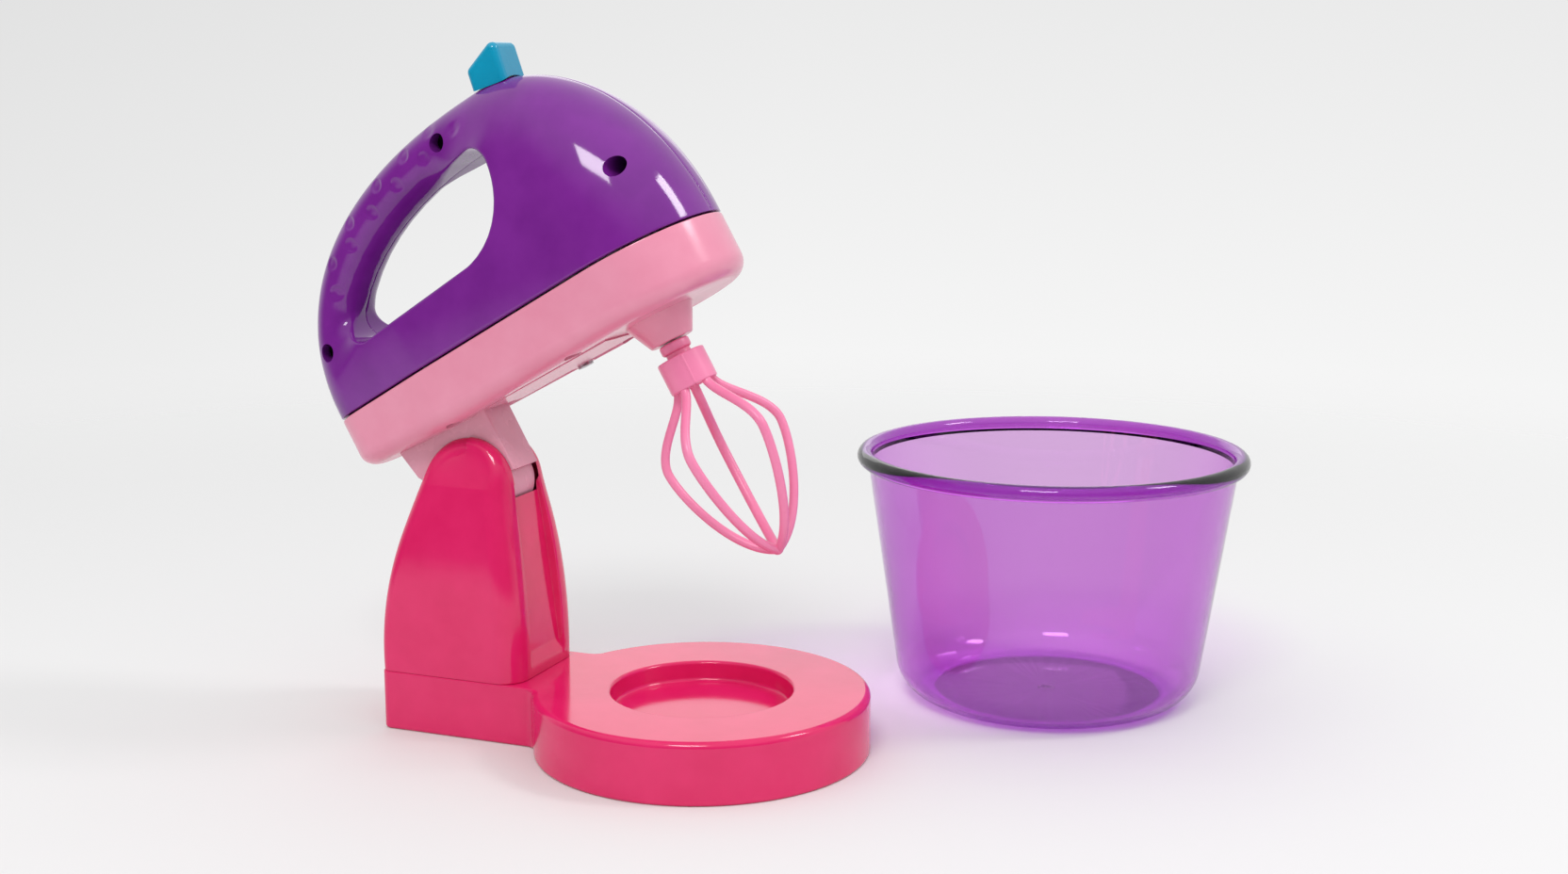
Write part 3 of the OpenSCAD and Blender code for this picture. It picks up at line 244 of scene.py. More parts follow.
def mesh_object(name, points, faces):
    """An object from points in millimetres, welded and with its faces turned outwards."""
    mesh = bpy.data.meshes.new(name)
    mesh.from_pydata([Vector(point) * MM for point in points], [], faces)
    shape = bmesh.new()
    shape.from_mesh(mesh)
    bmesh.ops.remove_doubles(shape, verts=shape.verts, dist=WELD)
    bmesh.ops.dissolve_degenerate(shape, edges=shape.edges, dist=SLIVER)
    bmesh.ops.recalc_face_normals(shape, faces=shape.faces)
    shape.to_mesh(mesh)
    shape.free()
    thing = bpy.data.objects.new(name, mesh)
    SCENE.collection.objects.link(thing)
    return thing


def place_piece(thing, body, material, nodes=(), crease=35):
    """Gives a piece its finish and smooth shading, ties it to its body, and hides the CAD nodes that it takes
    the place of.
    """
    mesh = thing.data
    mesh.materials.clear()
    mesh.materials.append(material)
    mesh.shade_smooth()
    mesh.set_sharp_from_angle(angle=math.radians(crease))
    even = thing.modifiers.new("even_shading", "WEIGHTED_NORMAL")
    even.keep_sharp = True
    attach(thing, body)
    if nodes:
        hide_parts(*nodes)
    print(thing.name, "on", body, "with", len(mesh.polygons), "faces")


def carve(thing, cutter):
    """Cuts one closed mesh by another, and removes the cutter."""
    tool = thing.modifiers.new("carve", "BOOLEAN")
    tool.operation = "DIFFERENCE"
    tool.solver = "EXACT"
    tool.object = cutter
    seen = bpy.context.evaluated_depsgraph_get()
    result = bpy.data.meshes.new_from_object(thing.evaluated_get(seen))
    thing.modifiers.clear()
    thing.data = result
    bpy.data.objects.remove(cutter)


def grid_faces(rows, around, closed_rows=False):
    """Four-sided faces between closed rows of points, each row with the same number of them."""
    faces = []
    for j in range(rows if closed_rows else rows - 1):
        for i in range(around):
            a = j * around + i
            b = j * around + (i + 1) % around
            c = (j + 1) % rows * around + (i + 1) % around
            d = (j + 1) % rows * around + i
            faces.append((a, b, c, d))
    return faces


def tube_faces(rows, around):
    """Faces between rows of points, with both ends closed."""
    last = rows * around
    return grid_faces(rows, around) + [tuple(range(around)), tuple(range(last - 1, last - around - 1, -1))]


def mix(a, b, t):
    """The value at share t between a and b."""
    return a + (b - a) * t


def ease(t):
    """Share from 0 to 1 that starts and ends gently."""
    t = min(1.0, max(0.0, t))
    return t * t * (3 - 2 * t)


def quarter(steps):
    """How far a round edge of radius 1 is from its two sides, from touching one to touching the other."""
    turns = [math.pi / 2 * k / steps for k in range(steps + 1)]
    return [(1 - math.sin(a), 1 - math.cos(a)) for a in turns]


def arc(r, start, end, steps, middle=(0, 0)):
    """Points of an arc about a middle, from one direction to another."""
    turns = [mix(start, end, i / steps) for i in range(steps + 1)]
    return [Vector((middle[0] + r * math.cos(a), middle[1] + r * math.sin(a))) for a in turns]


print("head leans", round(math.degrees(TILT)), "degrees about", HINGE_X, HINGE_Z)

# %% [markdown]
# The purple housing is the piece that makes or breaks the likeness. It is moulded in two halves
# that meet on a line over the top, and each half turns into half of a handle round the opening.
# It could be modelled by subdividing a box, but the opening and the handle are easier to steer
# as a field: rays leave the middle of the opening, and along each ray a formula gives the half width.
# The body's section is a soft square, the handle's is an ellipse, and the two blend by the ray's direction.

# %% Outline and opening of the housing
NOSE_P, TAIL_P, PEAK_P, HOUSING_H = 108.05, -38.0, 57.8, 67.0
REAR_POWER, SECTION_POWER = 2.3, 2.3
PLAN_CIRCLES = ((-24.0, 14.0), (8.0, 20.3), (78.8, 29.25))
HANDLE_HW = 10.5
# Circles along the edge of the opening: place, height above the seam and radius
GRIP_REAR = Vector((-8.5, 23.5, 7.1))
GRIP_FRONT = Vector((37.5, 32.5, 13.9))
GRIP_BEND = Vector((47.2, 33.2, 12.9))
GRIP_TOP = Vector((51.7, 42.2, 7.9))
GRIP_CROWN = Vector((10.5, 41.7, 7.9))
CURVE_STEPS = 10


def curve_circle(start, bend, end, t):
    """Circle at share t of a curve of circles that leans towards the bend."""
    return start.lerp(bend, t).lerp(bend.lerp(end, t), t)


upper = [curve_circle(GRIP_REAR, GRIP_CROWN, GRIP_TOP, i / CURVE_STEPS) for i in range(CURVE_STEPS + 1)]
front = [curve_circle(GRIP_TOP, GRIP_BEND, GRIP_FRONT, i / CURVE_STEPS) for i in range(1, CURVE_STEPS + 1)]
edge_circles = upper + front
GRIP_SIDES = list(zip(edge_circles, edge_circles[1:] + edge_circles[:1]))
GRIP_SIDES += [(circle, GRIP_FRONT) for circle in upper[1:-1]]
GRIP_HUB = GRIP_REAR.lerp(GRIP_FRONT, 0.6).lerp(upper[CURVE_STEPS // 2], 0.25).xy


def capsule_distance(point, start, end):
    """Distance from a point to a bar whose ends are circles of two sizes."""
    length = (end.xy - start.xy).length
    way = (end.xy - start.xy) / length
    off = point - start.xy
    along = off.dot(way)
    beside = abs(way.x * off.y - way.y * off.x)
    k = (start.z - end.z) / length
    m = math.sqrt(1 - k * k)
    side = m * along - k * beside
    if side < 0:
        return off.length - start.z
    if side > m * length:
        return (point - end.xy).length - end.z
    return m * beside + k * along - start.z


def in_opening(point):
    """True inside the opening of the handle."""
    return min(capsule_distance(point, *side) for side in GRIP_SIDES) < 0


def housing_top(p):
    """Height of the housing above its seam."""
    if p > PEAK_P:
        return HOUSING_H * math.sqrt(max(0.0, 1 - ((p - PEAK_P) / (NOSE_P - PEAK_P)) ** 2))
    fall = max(0.0, PEAK_P - p) / (PEAK_P - TAIL_P)
    return HOUSING_H * max(0.0, 1 - fall ** REAR_POWER) ** (1 / REAR_POWER)


def in_side_view(point):
    """True inside the housing's outline, seen from the side."""
    return TAIL_P < point.x < NOSE_P and 0 < point.y < housing_top(point.x)


def plan_hw(p):
    """Half width of the head's plan."""
    best = 0.0
    for (a, ra), (b, rb) in zip(PLAN_CIRCLES, PLAN_CIRCLES[1:]):
        s = (rb - ra) / (b - a)
        if p < a - ra * s:
            width = math.sqrt(max(0.0, ra * ra - (p - a) ** 2))
        elif p > b - rb * s:
            width = math.sqrt(max(0.0, rb * rb - (p - b) ** 2))
        else:
            width = (ra + (p - a) * s) / math.sqrt(1 - s * s)
        best = max(best, width)
    return best


print("housing", round(NOSE_P - TAIL_P, 1), "mm long and", HOUSING_H, "mm high")

# %% [markdown]
# Every ray runs from the edge of the opening to the outline. Rays stand closer in the handle,
# where the finger dimples need small faces, and towards both ends of the seam, where the plan is round.
# The edge of the opening is rounded by 1.3 mm on the body's side, the edge at the seam by 1 mm,
# and along the parting line each half falls away by 0.3 mm,
# so that the line shows as it does in the photograph.

# %% Field of half widths
OPENING_ROUND, SEAM_ROUND = 1.3, 1.0
PARTING_Y, PARTING_LIP, PARTING_FALL = 0.05, 0.35, 0.3
DIMPLE_R, DIMPLE_DEPTH = 2.3, 0.55
# Directions from the hub, in degrees, between which body and handle blend
FRONT_BLEND, REAR_BLEND, HANDLE_MIDDLE = (20, 60), (178, 205), 130
# Directions between which the rays stand closest
DIMPLES_FROM, DIMPLES_TO = 60, 200
# Longer than any ray
FAR_OUT = 220.0


def reach(way, inside):
    """How far one can go from the hub in a direction before leaving a region."""
    low, high = 0.0, FAR_OUT
    for _ in range(40):
        half = (low + high) / 2
        if inside(GRIP_HUB + way * half):
            low = half
        else:
            high = half
    return low


def body_share(degrees):
    """1 where a ray crosses the body, 0 where it crosses the handle."""
    if degrees < HANDLE_MIDDLE:
        return 1 - ease((degrees - FRONT_BLEND[0]) / (FRONT_BLEND[1] - FRONT_BLEND[0]))
    return ease((degrees - REAR_BLEND[0]) / (REAR_BLEND[1] - REAR_BLEND[0]))


def rounding(distance, r):
    """How far a round edge of radius r falls below the sharp one at a distance from it."""
    if distance >= r:
        return 0.0
    return r - math.sqrt(max(0.0, r * r - (r - distance) ** 2))


def half_width(ray, s):
    """Half width of the housing at share s of a ray."""
    degrees, start, end, at_seam = ray
    point = start.lerp(end, s)
    length = (end - start).length
    rise = min(1.0, max(0.0, point.y) / max(0.01, housing_top(point.x)))
    body = plan_hw(point.x) * max(0.0, 1 - rise ** SECTION_POWER) ** (1 / SECTION_POWER)
    body -= rounding(s * length, OPENING_ROUND)
    if at_seam:
        body -= rounding((1 - s) * length, SEAM_ROUND)
    grip = HANDLE_HW * math.sqrt(max(0.0, 1 - (2 * s - 1) ** 2))
    return max(PARTING_LIP, mix(grip, max(0.0, body), body_share(degrees)))


def make_ray(degrees, at_seam):
    """A ray's direction, where it leaves the opening and where it leaves the housing."""
    way = Vector((math.cos(math.radians(degrees)), math.sin(math.radians(degrees))))
    start = GRIP_HUB + way * reach(way, in_opening)
    end = GRIP_HUB + way * reach(way, in_side_view)
    return degrees, start, end, at_seam


def spread(low, high, step):
    """Even values from low to just before high."""
    count = max(1, round((high - low) / step))
    return [low + (high - low) * i / count for i in range(count)]


def direction(p, v):
    """Direction from the hub to a point of the side view, in degrees."""
    return math.degrees(math.atan2(v - GRIP_HUB.y, p - GRIP_HUB.x))


nose_angle = direction(NOSE_P, 0)
tail_angle = direction(TAIL_P, 0) + 360
over_top = spread(nose_angle, DIMPLES_FROM, 1.2) + spread(DIMPLES_FROM, DIMPLES_TO, 0.75)
over_top += spread(DIMPLES_TO, tail_angle, 1.0)
SEAM_RAYS, RAY_STEPS = 90, 56
along_seam = [direction(mix(TAIL_P, NOSE_P, (1 - math.cos(math.pi * i / SEAM_RAYS)) / 2), 0) + 360
              for i in range(SEAM_RAYS)]
RAYS = [make_ray(angle, False) for angle in over_top] + [make_ray(angle, True) for angle in along_seam]
SHARES = [(1 - math.cos(math.pi * j / RAY_STEPS)) / 2 for j in range(RAY_STEPS + 1)]
print(len(RAYS), "rays round the opening, hub at", [round(c, 1) for c in GRIP_HUB])

# %% [markdown]
# The handle carries two staggered rows of shallow round finger dimples on each side.
# They are pressed into the field itself rather than painted as bumps, so that they also show in the outline.

# %% Finger dimples
DIMPLE_SPOTS = ((49.6, 58.6), (35.1, 56.5), (22.3, 54.1), (10.1, 50.9), (-2.0, 45.7), (-14.5, 35.3),
                (39.7, 63.2), (28.4, 60.6), (15.4, 57.3), (0.7, 51.9), (-11.4, 44.0))
DIMPLES = [Vector(spot) for spot in DIMPLE_SPOTS]


def dimple_depth(point):
    """Depth of the finger dimples at a point of the side view."""
    depth = 0.0
    for middle in DIMPLES:
        gap = (point - middle).length / DIMPLE_R
        if gap < 1:
            depth = max(depth, DIMPLE_DEPTH * (1 - gap ** 4))
    return depth


print(len(DIMPLES), "dimples of", DIMPLE_R, "mm radius on each side")

# %% The two halves


def housing_half(name, side):
    """One half of the housing: side is -1 for the right half and 1 for the left."""
    rows = [[(start + (start - GRIP_HUB).normalized() * PARTING_FALL, PARTING_Y) for _, start, _, _ in RAYS],
            [(start, PARTING_LIP) for _, start, _, _ in RAYS]]
    for s in SHARES:
        row = []
        for ray in RAYS:
            point = ray[1].lerp(ray[2], s)
            row.append((point, max(PARTING_LIP, half_width(ray, s) - dimple_depth(point))))
        rows.append(row)
    rows.append([(end, PARTING_LIP) for _, _, end, _ in RAYS])
    rows.append([(end if at_seam else end - (end - GRIP_HUB).normalized() * PARTING_FALL, PARTING_Y)
                 for _, _, end, at_seam in RAYS])
    points = [head_point(point.x, side * y, SEAM_Q + point.y) for row in rows for point, y in row]
    return mesh_object(name, points, grid_faces(len(rows), len(RAYS), closed_rows=True))


housing_right = housing_half("housing_right_shell", -1)
housing_left = housing_half("housing_left_shell", 1)
print("housing halves:", len(housing_right.data.vertices), "points each")

# %% [markdown]
# Round pieces are turned like pots: a profile with rounded corners goes round an axis.
# One function rounds the corners of a drawn profile, and one turns it.

# %% Rounded profiles and turned pieces
HOLE_SIDES = 48


def rounded_path(corners, steps=6):
    """Points of a path whose corners, given as x, y and radius, are rounded."""
    path = []
    for i, (x, y, r) in enumerate(corners):
        here = Vector((x, y))
        if r == 0 or i in (0, len(corners) - 1):
            path.append(here)
            continue
        back = (Vector(corners[i - 1][:2]) - here).normalized()
        ahead = (Vector(corners[i + 1][:2]) - here).normalized()
        half = back.angle(ahead) / 2
        middle = here + (back + ahead).normalized() * (r / math.sin(half))
        first = here + back * (r / math.tan(half)) - middle
        last = here + ahead * (r / math.tan(half)) - middle
        sweep = math.atan2(first.x * last.y - first.y * last.x, first.dot(last))
        for k in range(steps + 1):
            path.append(middle + Vector(rotated(first.x, first.y, sweep * k / steps)))
    return path


def turned(profile, place, around=96):
    """Points and faces of a profile of radius and height, turned about an axis."""
    points = []
    for spot in profile:
        for i in range(around):
            angle = 2 * math.pi * i / around
            points.append(place(spot.x * math.cos(angle), spot.x * math.sin(angle), spot.y))
    return points, grid_faces(len(profile), around)


def joined(*shapes):
    """Several lists of points and faces as one."""
    points, faces = [], []
    for more, sides in shapes:
        faces += [tuple(i + len(points) for i in side) for side in sides]
        points += list(more)
    return points, faces


def rod_across(place, p, q, r, y0, y1):
    """A closed rod across the mixer, for cutting holes."""
    turns = [2 * math.pi * i / HOLE_SIDES for i in range(HOLE_SIDES)]
    points = [place(p + r * math.cos(a), y, q + r * math.sin(a)) for y in (y0, y1) for a in turns]
    return mesh_object("hole_cutter", points, tube_faces(2, HOLE_SIDES))


print("a 1 mm corner gets", len(rounded_path([(0, 0, 0), (5, 0, 1), (5, 5, 0)])) - 2, "points")

# %% [markdown]
# Three deep round holes in the right half lead to the screws that draw the halves together.
# They are cut through the skin with a boolean, which keeps their rims crisp, as the mould leaves them.

# %% Screw holes, and the housing in place
SCREW_HOLES = ((42.0, 58.1), (96.05, 22.0), (-27.0, 20.3))
SCREW_HOLE_R, HOLE_OUTER_Y, HOLE_INNER_Y = 2.9, -60, -4
for hole_p, hole_v in SCREW_HOLES:
    hole_q = SEAM_Q + hole_v
    carve(housing_right, rod_across(head_point, hole_p, hole_q, SCREW_HOLE_R, HOLE_OUTER_Y, HOLE_INNER_Y))
place_piece(housing_right, "head", purple_abs, ["housing_right"], crease=50)
place_piece(housing_left, "head", purple_abs, ["housing_left"], crease=50)

# %% [markdown]
# The pink tray closes the head from below. Its plan is an egg, three circles wrapped by one outline,
# and its lower edge is rounded by 6 mm and rises by 1.9 mm towards the rear. Each row of points
# is the same outline drawn in a little, so the rows stack up without twisting.

# %% Tray
TRAY_Q, TRAY_TOP_Q, TRAY_ROUND, TRAY_RISE = 19.7, 38.9, 6.0, 1.9
TRAY_WALL, TRAY_EDGE, TRAY_INSIDE_Q = 2.2, 0.5, 34.9
RISE_FROM_P, RISE_LENGTH, RISE_TOP_Q = 8, 40, 32


def egg_directions():
    """Which circle of the plan shows in which direction, going round the egg."""
    rear, middle, front = PLAN_CIRCLES
    at_front = math.degrees(math.acos((middle[1] - front[1]) / (front[0] - middle[0])))
    at_rear = math.degrees(math.acos((rear[1] - middle[1]) / (middle[0] - rear[0])))
    half = [(front, at_front * i / 32) for i in range(33)]
    half += [(middle, mix(at_front, at_rear, i / 3)) for i in range(4)]
    half += [(rear, mix(at_rear, 180, i / 24)) for i in range(25)]
    return half + [(circle, 360 - angle) for circle, angle in reversed(half[1:-1])]


EGG = egg_directions()


def egg_row(inset, q):
    """The egg's outline, drawn in by inset, at height q; the lower rows rise towards the rear."""
    row = []
    for circle, angle in EGG:
        p = circle[0] + (circle[1] - inset) * math.cos(math.radians(angle))
        rise = TRAY_RISE * ease((RISE_FROM_P - p) / RISE_LENGTH)
        rise *= max(0.0, (RISE_TOP_Q - q) / (RISE_TOP_Q - TRAY_Q))
        row.append(head_point(p, (circle[1] - inset) * math.sin(math.radians(angle)), q + rise))
    return row


tray_rows = [egg_row(TRAY_ROUND * a, TRAY_Q + TRAY_ROUND * b) for a, b in quarter(12)]
for inset, q in ((0, RISE_TOP_Q), (0, TRAY_TOP_Q - TRAY_EDGE),
                 (0.3 * TRAY_EDGE, TRAY_TOP_Q - 0.3 * TRAY_EDGE), (TRAY_EDGE, TRAY_TOP_Q),
                 (TRAY_WALL, TRAY_TOP_Q), (TRAY_WALL, TRAY_INSIDE_Q)):
    tray_rows.append(egg_row(inset, q))
tray_points = [point for row in tray_rows for point in row]
tray = mesh_object("tray_shell", tray_points, tube_faces(len(tray_rows), len(EGG)))
print("tray:", len(tray.data.polygons), "faces")

# %% [markdown]
# Under the tray are the battery door, which lies in a recess of its own shape, and four deep screw holes.
# The drive boss stands below the front of the tray as a short cone with softened edges.

# %% Tray openings and drive boss
SPINDLE_P = 77.4
BOSS_END_Q, BOSS_R, BOSS_END_R, BOSS_BORE_R = 11.3, 11.0, 6.8, 2.6
DOOR_P0, DOOR_P1, DOOR_HW, DOOR_T = 15.2, 63.7, 12.5, 1.2
EAR_P, EAR_Y, EAR_R = 39.45, 15.3, 3.6
TRAY_SCREWS = ((5.0, 14.0), (55.5, 19.75))
CUT_FROM_Q, DOOR_FLOOR_Q, HOLE_FLOOR_Q = TRAY_Q - 3, TRAY_Q + DOOR_T, TRAY_Q + 7


def box_on_tray(p0, p1, y0, y1, q0, q1):
    """A closed box square to the head, for cutting recesses."""
    points = [head_point(p, y, q) for q in (q0, q1) for p, y in ((p0, y0), (p1, y0), (p1, y1), (p0, y1))]
    faces = [(3, 2, 1, 0), (4, 5, 6, 7), (0, 1, 5, 4), (1, 2, 6, 5), (2, 3, 7, 6), (3, 0, 4, 7)]
    return mesh_object("recess_cutter", points, faces)


def rod_up(p, y, r, q0, q1):
    """A closed rod square to the tray, for cutting holes."""
    profile = [Vector((0, q0)), Vector((r, q0)), Vector((r, q1)), Vector((0, q1))]
    points, faces = turned(profile, lambda a, b, q: head_point(p + a, y + b, q), HOLE_SIDES)
    return mesh_object("hole_cutter", points, faces)


carve(tray, box_on_tray(DOOR_P0, DOOR_P1, -DOOR_HW, DOOR_HW, CUT_FROM_Q, DOOR_FLOOR_Q))
carve(tray, box_on_tray(EAR_P - EAR_R, EAR_P + EAR_R, 0, EAR_Y, CUT_FROM_Q, DOOR_FLOOR_Q))
carve(tray, rod_up(EAR_P, EAR_Y, EAR_R, CUT_FROM_Q, DOOR_FLOOR_Q))
for screw_p, screw_y in TRAY_SCREWS:
    for side in (-1, 1):
        carve(tray, rod_up(screw_p, side * screw_y, SCREW_HOLE_R, CUT_FROM_Q, HOLE_FLOOR_Q))
place_piece(tray, "head", pink_abs, ["lower_tray"], crease=40)


def at_spindle(x, y, q):
    """A point of a piece turned about the drive spindle."""
    return head_point(SPINDLE_P + x, y, q)


boss_profile = rounded_path([(BOSS_BORE_R, BOSS_END_Q + 2.7, 0), (BOSS_BORE_R, BOSS_END_Q, 0.2),
                             (BOSS_END_R, BOSS_END_Q, 0.8), (BOSS_R, TRAY_Q, 0), (BOSS_R, TRAY_Q + 0.8, 0)])
boss = mesh_object("drive_boss", *turned(boss_profile, at_spindle))
place_piece(boss, "head", pink_abs, crease=40)

# %% [markdown]
# The pale pink neck carries the head on the hinge. It is a slab with a round knuckle at its foot,
# and its long edges are broken by 0.6 mm. The step beside the knuckle lands on the column
# when the head is down.

# %% Neck
KNUCKLE_R, NECK_HW, NECK_FRONT, NECK_REAR = 10.5, 7.5, 13.0, 22.6
NECK_EDGE, NECK_STEP, NECK_TOP_Q = 0.6, 0.5, TRAY_Q + 2.5
NECK_HEEL = Vector((-NECK_REAR + 2.3, TRAY_Q - 8))


def slab_across(name, outline, half, edge, place):
    """A slab of an outline drawn from the side, with its long edges broken."""
    points = [place(a, y, b) for y in (-half, half) for a, b in outline]
    slab = mesh_object(name, points, tube_faces(2, len(outline)))
    shape = bmesh.new()
    shape.from_mesh(slab.data)
    rims = [e for e in shape.edges if abs(abs(e.verts[0].co.y) - half * MM) < 1e-7
            and abs(e.verts[0].co.y - e.verts[1].co.y) < 1e-7]
    bmesh.ops.bevel(shape, geom=rims, offset=edge * MM, segments=3, profile=0.5, affect="EDGES",
                    clamp_overlap=True)
    shape.to_mesh(slab.data)
    shape.free()
    return slab


lean = math.acos(KNUCKLE_R / NECK_HEEL.length)
touch = math.atan2(NECK_HEEL.y, NECK_HEEL.x) + lean
step_angle = 2 * math.pi - math.asin(NECK_STEP / KNUCKLE_R)
neck_outline = [(-NECK_REAR, NECK_TOP_Q), NECK_HEEL] + arc(KNUCKLE_R, touch, step_angle, 36)
neck_outline += [(NECK_FRONT, -NECK_STEP), (NECK_FRONT, NECK_TOP_Q)]
neck = slab_across("neck_block", neck_outline, NECK_HW, NECK_EDGE, head_point)
place_piece(neck, "head", pale_pink_abs, ["neck"], crease=30)

# %% [markdown]
# The column is a tall arch that narrows towards the top. Its front and rear edges run like a string
# pulled tight over the foot and the arch. Rings of points stand on top of each other from the base
# to the hinge, then close over the arch. Each ring is a rounded oblong with the groove in its front edge,
# so the groove's lips can be softened without cutting. Only the slot that the neck swings in
# and the hole for the pin's cap are cut out afterwards.

# %% Column rings
BASE_H, FOOT_HW, ARCH_HW, ARCH_R, ARCH_X = 19.0, 20.5, 12.75, 15.0, -74.5
FOOT_REACH, FRONT_BULGE, REAR_BULGE = 102.4, 1.8, 4.0
COLUMN_FRONT_X, COLUMN_REAR_X = -53.4, -FOOT_REACH + 0.4
SLOT_HW, GROOVE_HW, GROOVE_X, GROOVE_LEAN, GROOVE_FOOT, GROOVE_FADE = 7.8, 10.5, -54.2, 6.5, 24.0, 3.0
GROOVE_LIP, FRONT_ROUND, REAR_ROUND, REAR_FOOT_ROUND = 0.7, 7.5, 5.0, 3.0
ARCH_HW_Z = HINGE_Z + 10


def up_column(z):
    """Share of the way from the foot of the column up to the hinge."""
    return (z - BASE_H) / (HINGE_Z - BASE_H)


def wrapped_edge(foot_x, way, bulge):
    """Points of an edge pulled tight over the bulging foot part and the arch, from the bottom up."""
    spots = []
    for i in range(41):
        t = i / 40
        spots.append(Vector((mix(foot_x, ARCH_X + way * ARCH_R, t) + way * bulge * 4 * t * (1 - t),
                             mix(BASE_H, HINGE_Z, t))))
    for i in range(1, 61):
        turn = math.radians(90 * i / 60)
        spots.append(Vector((ARCH_X + way * ARCH_R * math.cos(turn), HINGE_Z + ARCH_R * math.sin(turn))))
    edge = []
    for spot in spots:
        while len(edge) > 1 and way * (edge[-1] - edge[-2]).cross(spot - edge[-1]) < 0:
            edge.pop()
        edge.append(spot)
    return edge


def edge_x(edge, z):
    """Where an edge is at height z."""
    for low, high in zip(edge, edge[1:]):
        if z <= high.y:
            return mix(low.x, high.x, (z - low.y) / (high.y - low.y))
    return edge[-1].x


REAR_EDGE = wrapped_edge(COLUMN_REAR_X, -1, REAR_BULGE)
FRONT_EDGE = wrapped_edge(COLUMN_FRONT_X, 1, FRONT_BULGE)


def column_hw(z):
    """Half width of the column, drawn in more and more towards the top."""
    return mix(FOOT_HW, ARCH_HW, ((z - BASE_H) / (ARCH_HW_Z - BASE_H)) ** 3)


def column_ring(front, rear, front_in, rear_in, half, rear_r, slot, groove, drawn):
    """Half of a ring: from the middle of the front, along the side, to the middle of the rear."""
    lip = min(GROOVE_LIP, groove)
    spots = [(0.0, groove), (slot - 0.5, groove), (slot - 0.15, groove - 0.15 * lip),
             (slot, groove - 0.5 * lip), (slot, lip), (slot + 0.2, 0.3 * lip), (slot + GROOVE_LIP, 0.0)]
    front_r = min(FRONT_ROUND, half - slot - GROOVE_LIP - 0.05)
    spots += [(half - front_r * a, front_r * b) for a, b in quarter(12)]
    ring = [front + front_in * (depth + drawn) for _, depth in spots]
    across = [y - (drawn if y > half - front_r else 0) for y, _ in spots]
    first, last = ring[-1], rear + rear_in * (rear_r + drawn)
    for k in range(1, 10):
        ring.append(first.lerp(last, k / 10))
        across.append(half - drawn)
    for a, b in quarter(12):
        ring.append(rear + rear_in * (rear_r * a + drawn))
        across.append(half - rear_r * b - drawn)
    ring.append(rear + rear_in * drawn)
    across.append(0.0)
    return list(zip(ring, across))


column_rows = []
heights = [(BASE_H, 0.35), (BASE_H + 0.12, 0.12), (BASE_H + 0.35, 0.0)]
# Rings stand closer where the groove begins
heights += [(z, 0.0) for z in (20.5, 21, 21.5, 22, 22.6, 23.2, 24, 24.8, 25.4, 26, 26.5, 27)]
heights += [(mix(28, HINGE_Z, i / 34), 0.0) for i in range(35)]
for z, drawn in heights:
    t = up_column(z)
    front_x = edge_x(FRONT_EDGE, z)
    groove = front_x - GROOVE_X + GROOVE_LEAN * t
    groove *= ease((z - GROOVE_FOOT + GROOVE_FADE) / (2 * GROOVE_FADE))
    rear_round = mix(REAR_FOOT_ROUND, REAR_ROUND, ease(t))
    column_rows.append(column_ring(Vector((front_x, z)), Vector((edge_x(REAR_EDGE, z), z)),
                                   Vector((-1, 0)), Vector((1, 0)), column_hw(z), rear_round,
                                   mix(GROOVE_HW, SLOT_HW, t ** 3), groove, drawn))
arch_spot = Vector((ARCH_X, HINGE_Z))
for step in range(1, 25):
    z = HINGE_Z + ARCH_R * math.sin(math.radians(90 * step / 24))
    front = Vector((edge_x(FRONT_EDGE, z), z))
    rear = Vector((edge_x(REAR_EDGE, z), z))
    front_in = (arch_spot - front).normalized()
    rear_in = (arch_spot - rear).normalized()
    column_rows.append(column_ring(front, rear, front_in, rear_in, column_hw(z), REAR_ROUND,
                                   SLOT_HW, 0.0, 0.0))
ring_points = []
for row in column_rows:
    ring_points += [(spot.x, y, spot.y) for spot, y in row]
    ring_points += [(spot.x, -y, spot.y) for spot, y in reversed(row[1:-1])]
ring_size = len(ring_points) // len(column_rows)
column_faces = grid_faces(len(column_rows), ring_size) + [tuple(range(ring_size))]
column = mesh_object("column_arch", ring_points, column_faces)
print("column:", len(column_rows), "rings of", ring_size, "points")

# %% Slot of the column, and the hole for the pin's cap
STOP_Z, SLOT_GAP, SLOT_SPARE = 78.2, 0.8, 0.04
SLOT_FLOOR_R = KNUCKLE_R + SLOT_GAP
PIN_CAP_R, PIN_CAP_DEPTH = 4.9, 2.05
# Lengths that reach well past the column
PAST_SIDE, PAST_FRONT, PAST_TOP, PAST_HEEL = 30.0, 40, 50, 60
heel = Vector(rotated(NECK_HEEL.x, NECK_HEEL.y, TILT))
heel_angle = math.atan2(heel.y, heel.x) + lean
heel_touch = Vector((math.cos(heel_angle), math.sin(heel_angle))) * SLOT_FLOOR_R
heel_way = (heel - heel_touch * (KNUCKLE_R / SLOT_FLOOR_R)).normalized()
floor_end = 2 * math.pi - math.asin(SLOT_GAP / SLOT_FLOOR_R)
slot_outline = [heel_touch + heel_way * PAST_HEEL] + arc(SLOT_FLOOR_R, heel_angle, floor_end, 30)
slot_outline += [(PAST_FRONT, STOP_Z - HINGE_Z), (PAST_FRONT, PAST_TOP), (-PAST_FRONT, PAST_TOP)]


def at_hinge(x, y, z):
    """A point measured from the hinge, with no lean."""
    return Vector((HINGE_X + x, y, HINGE_Z + z))


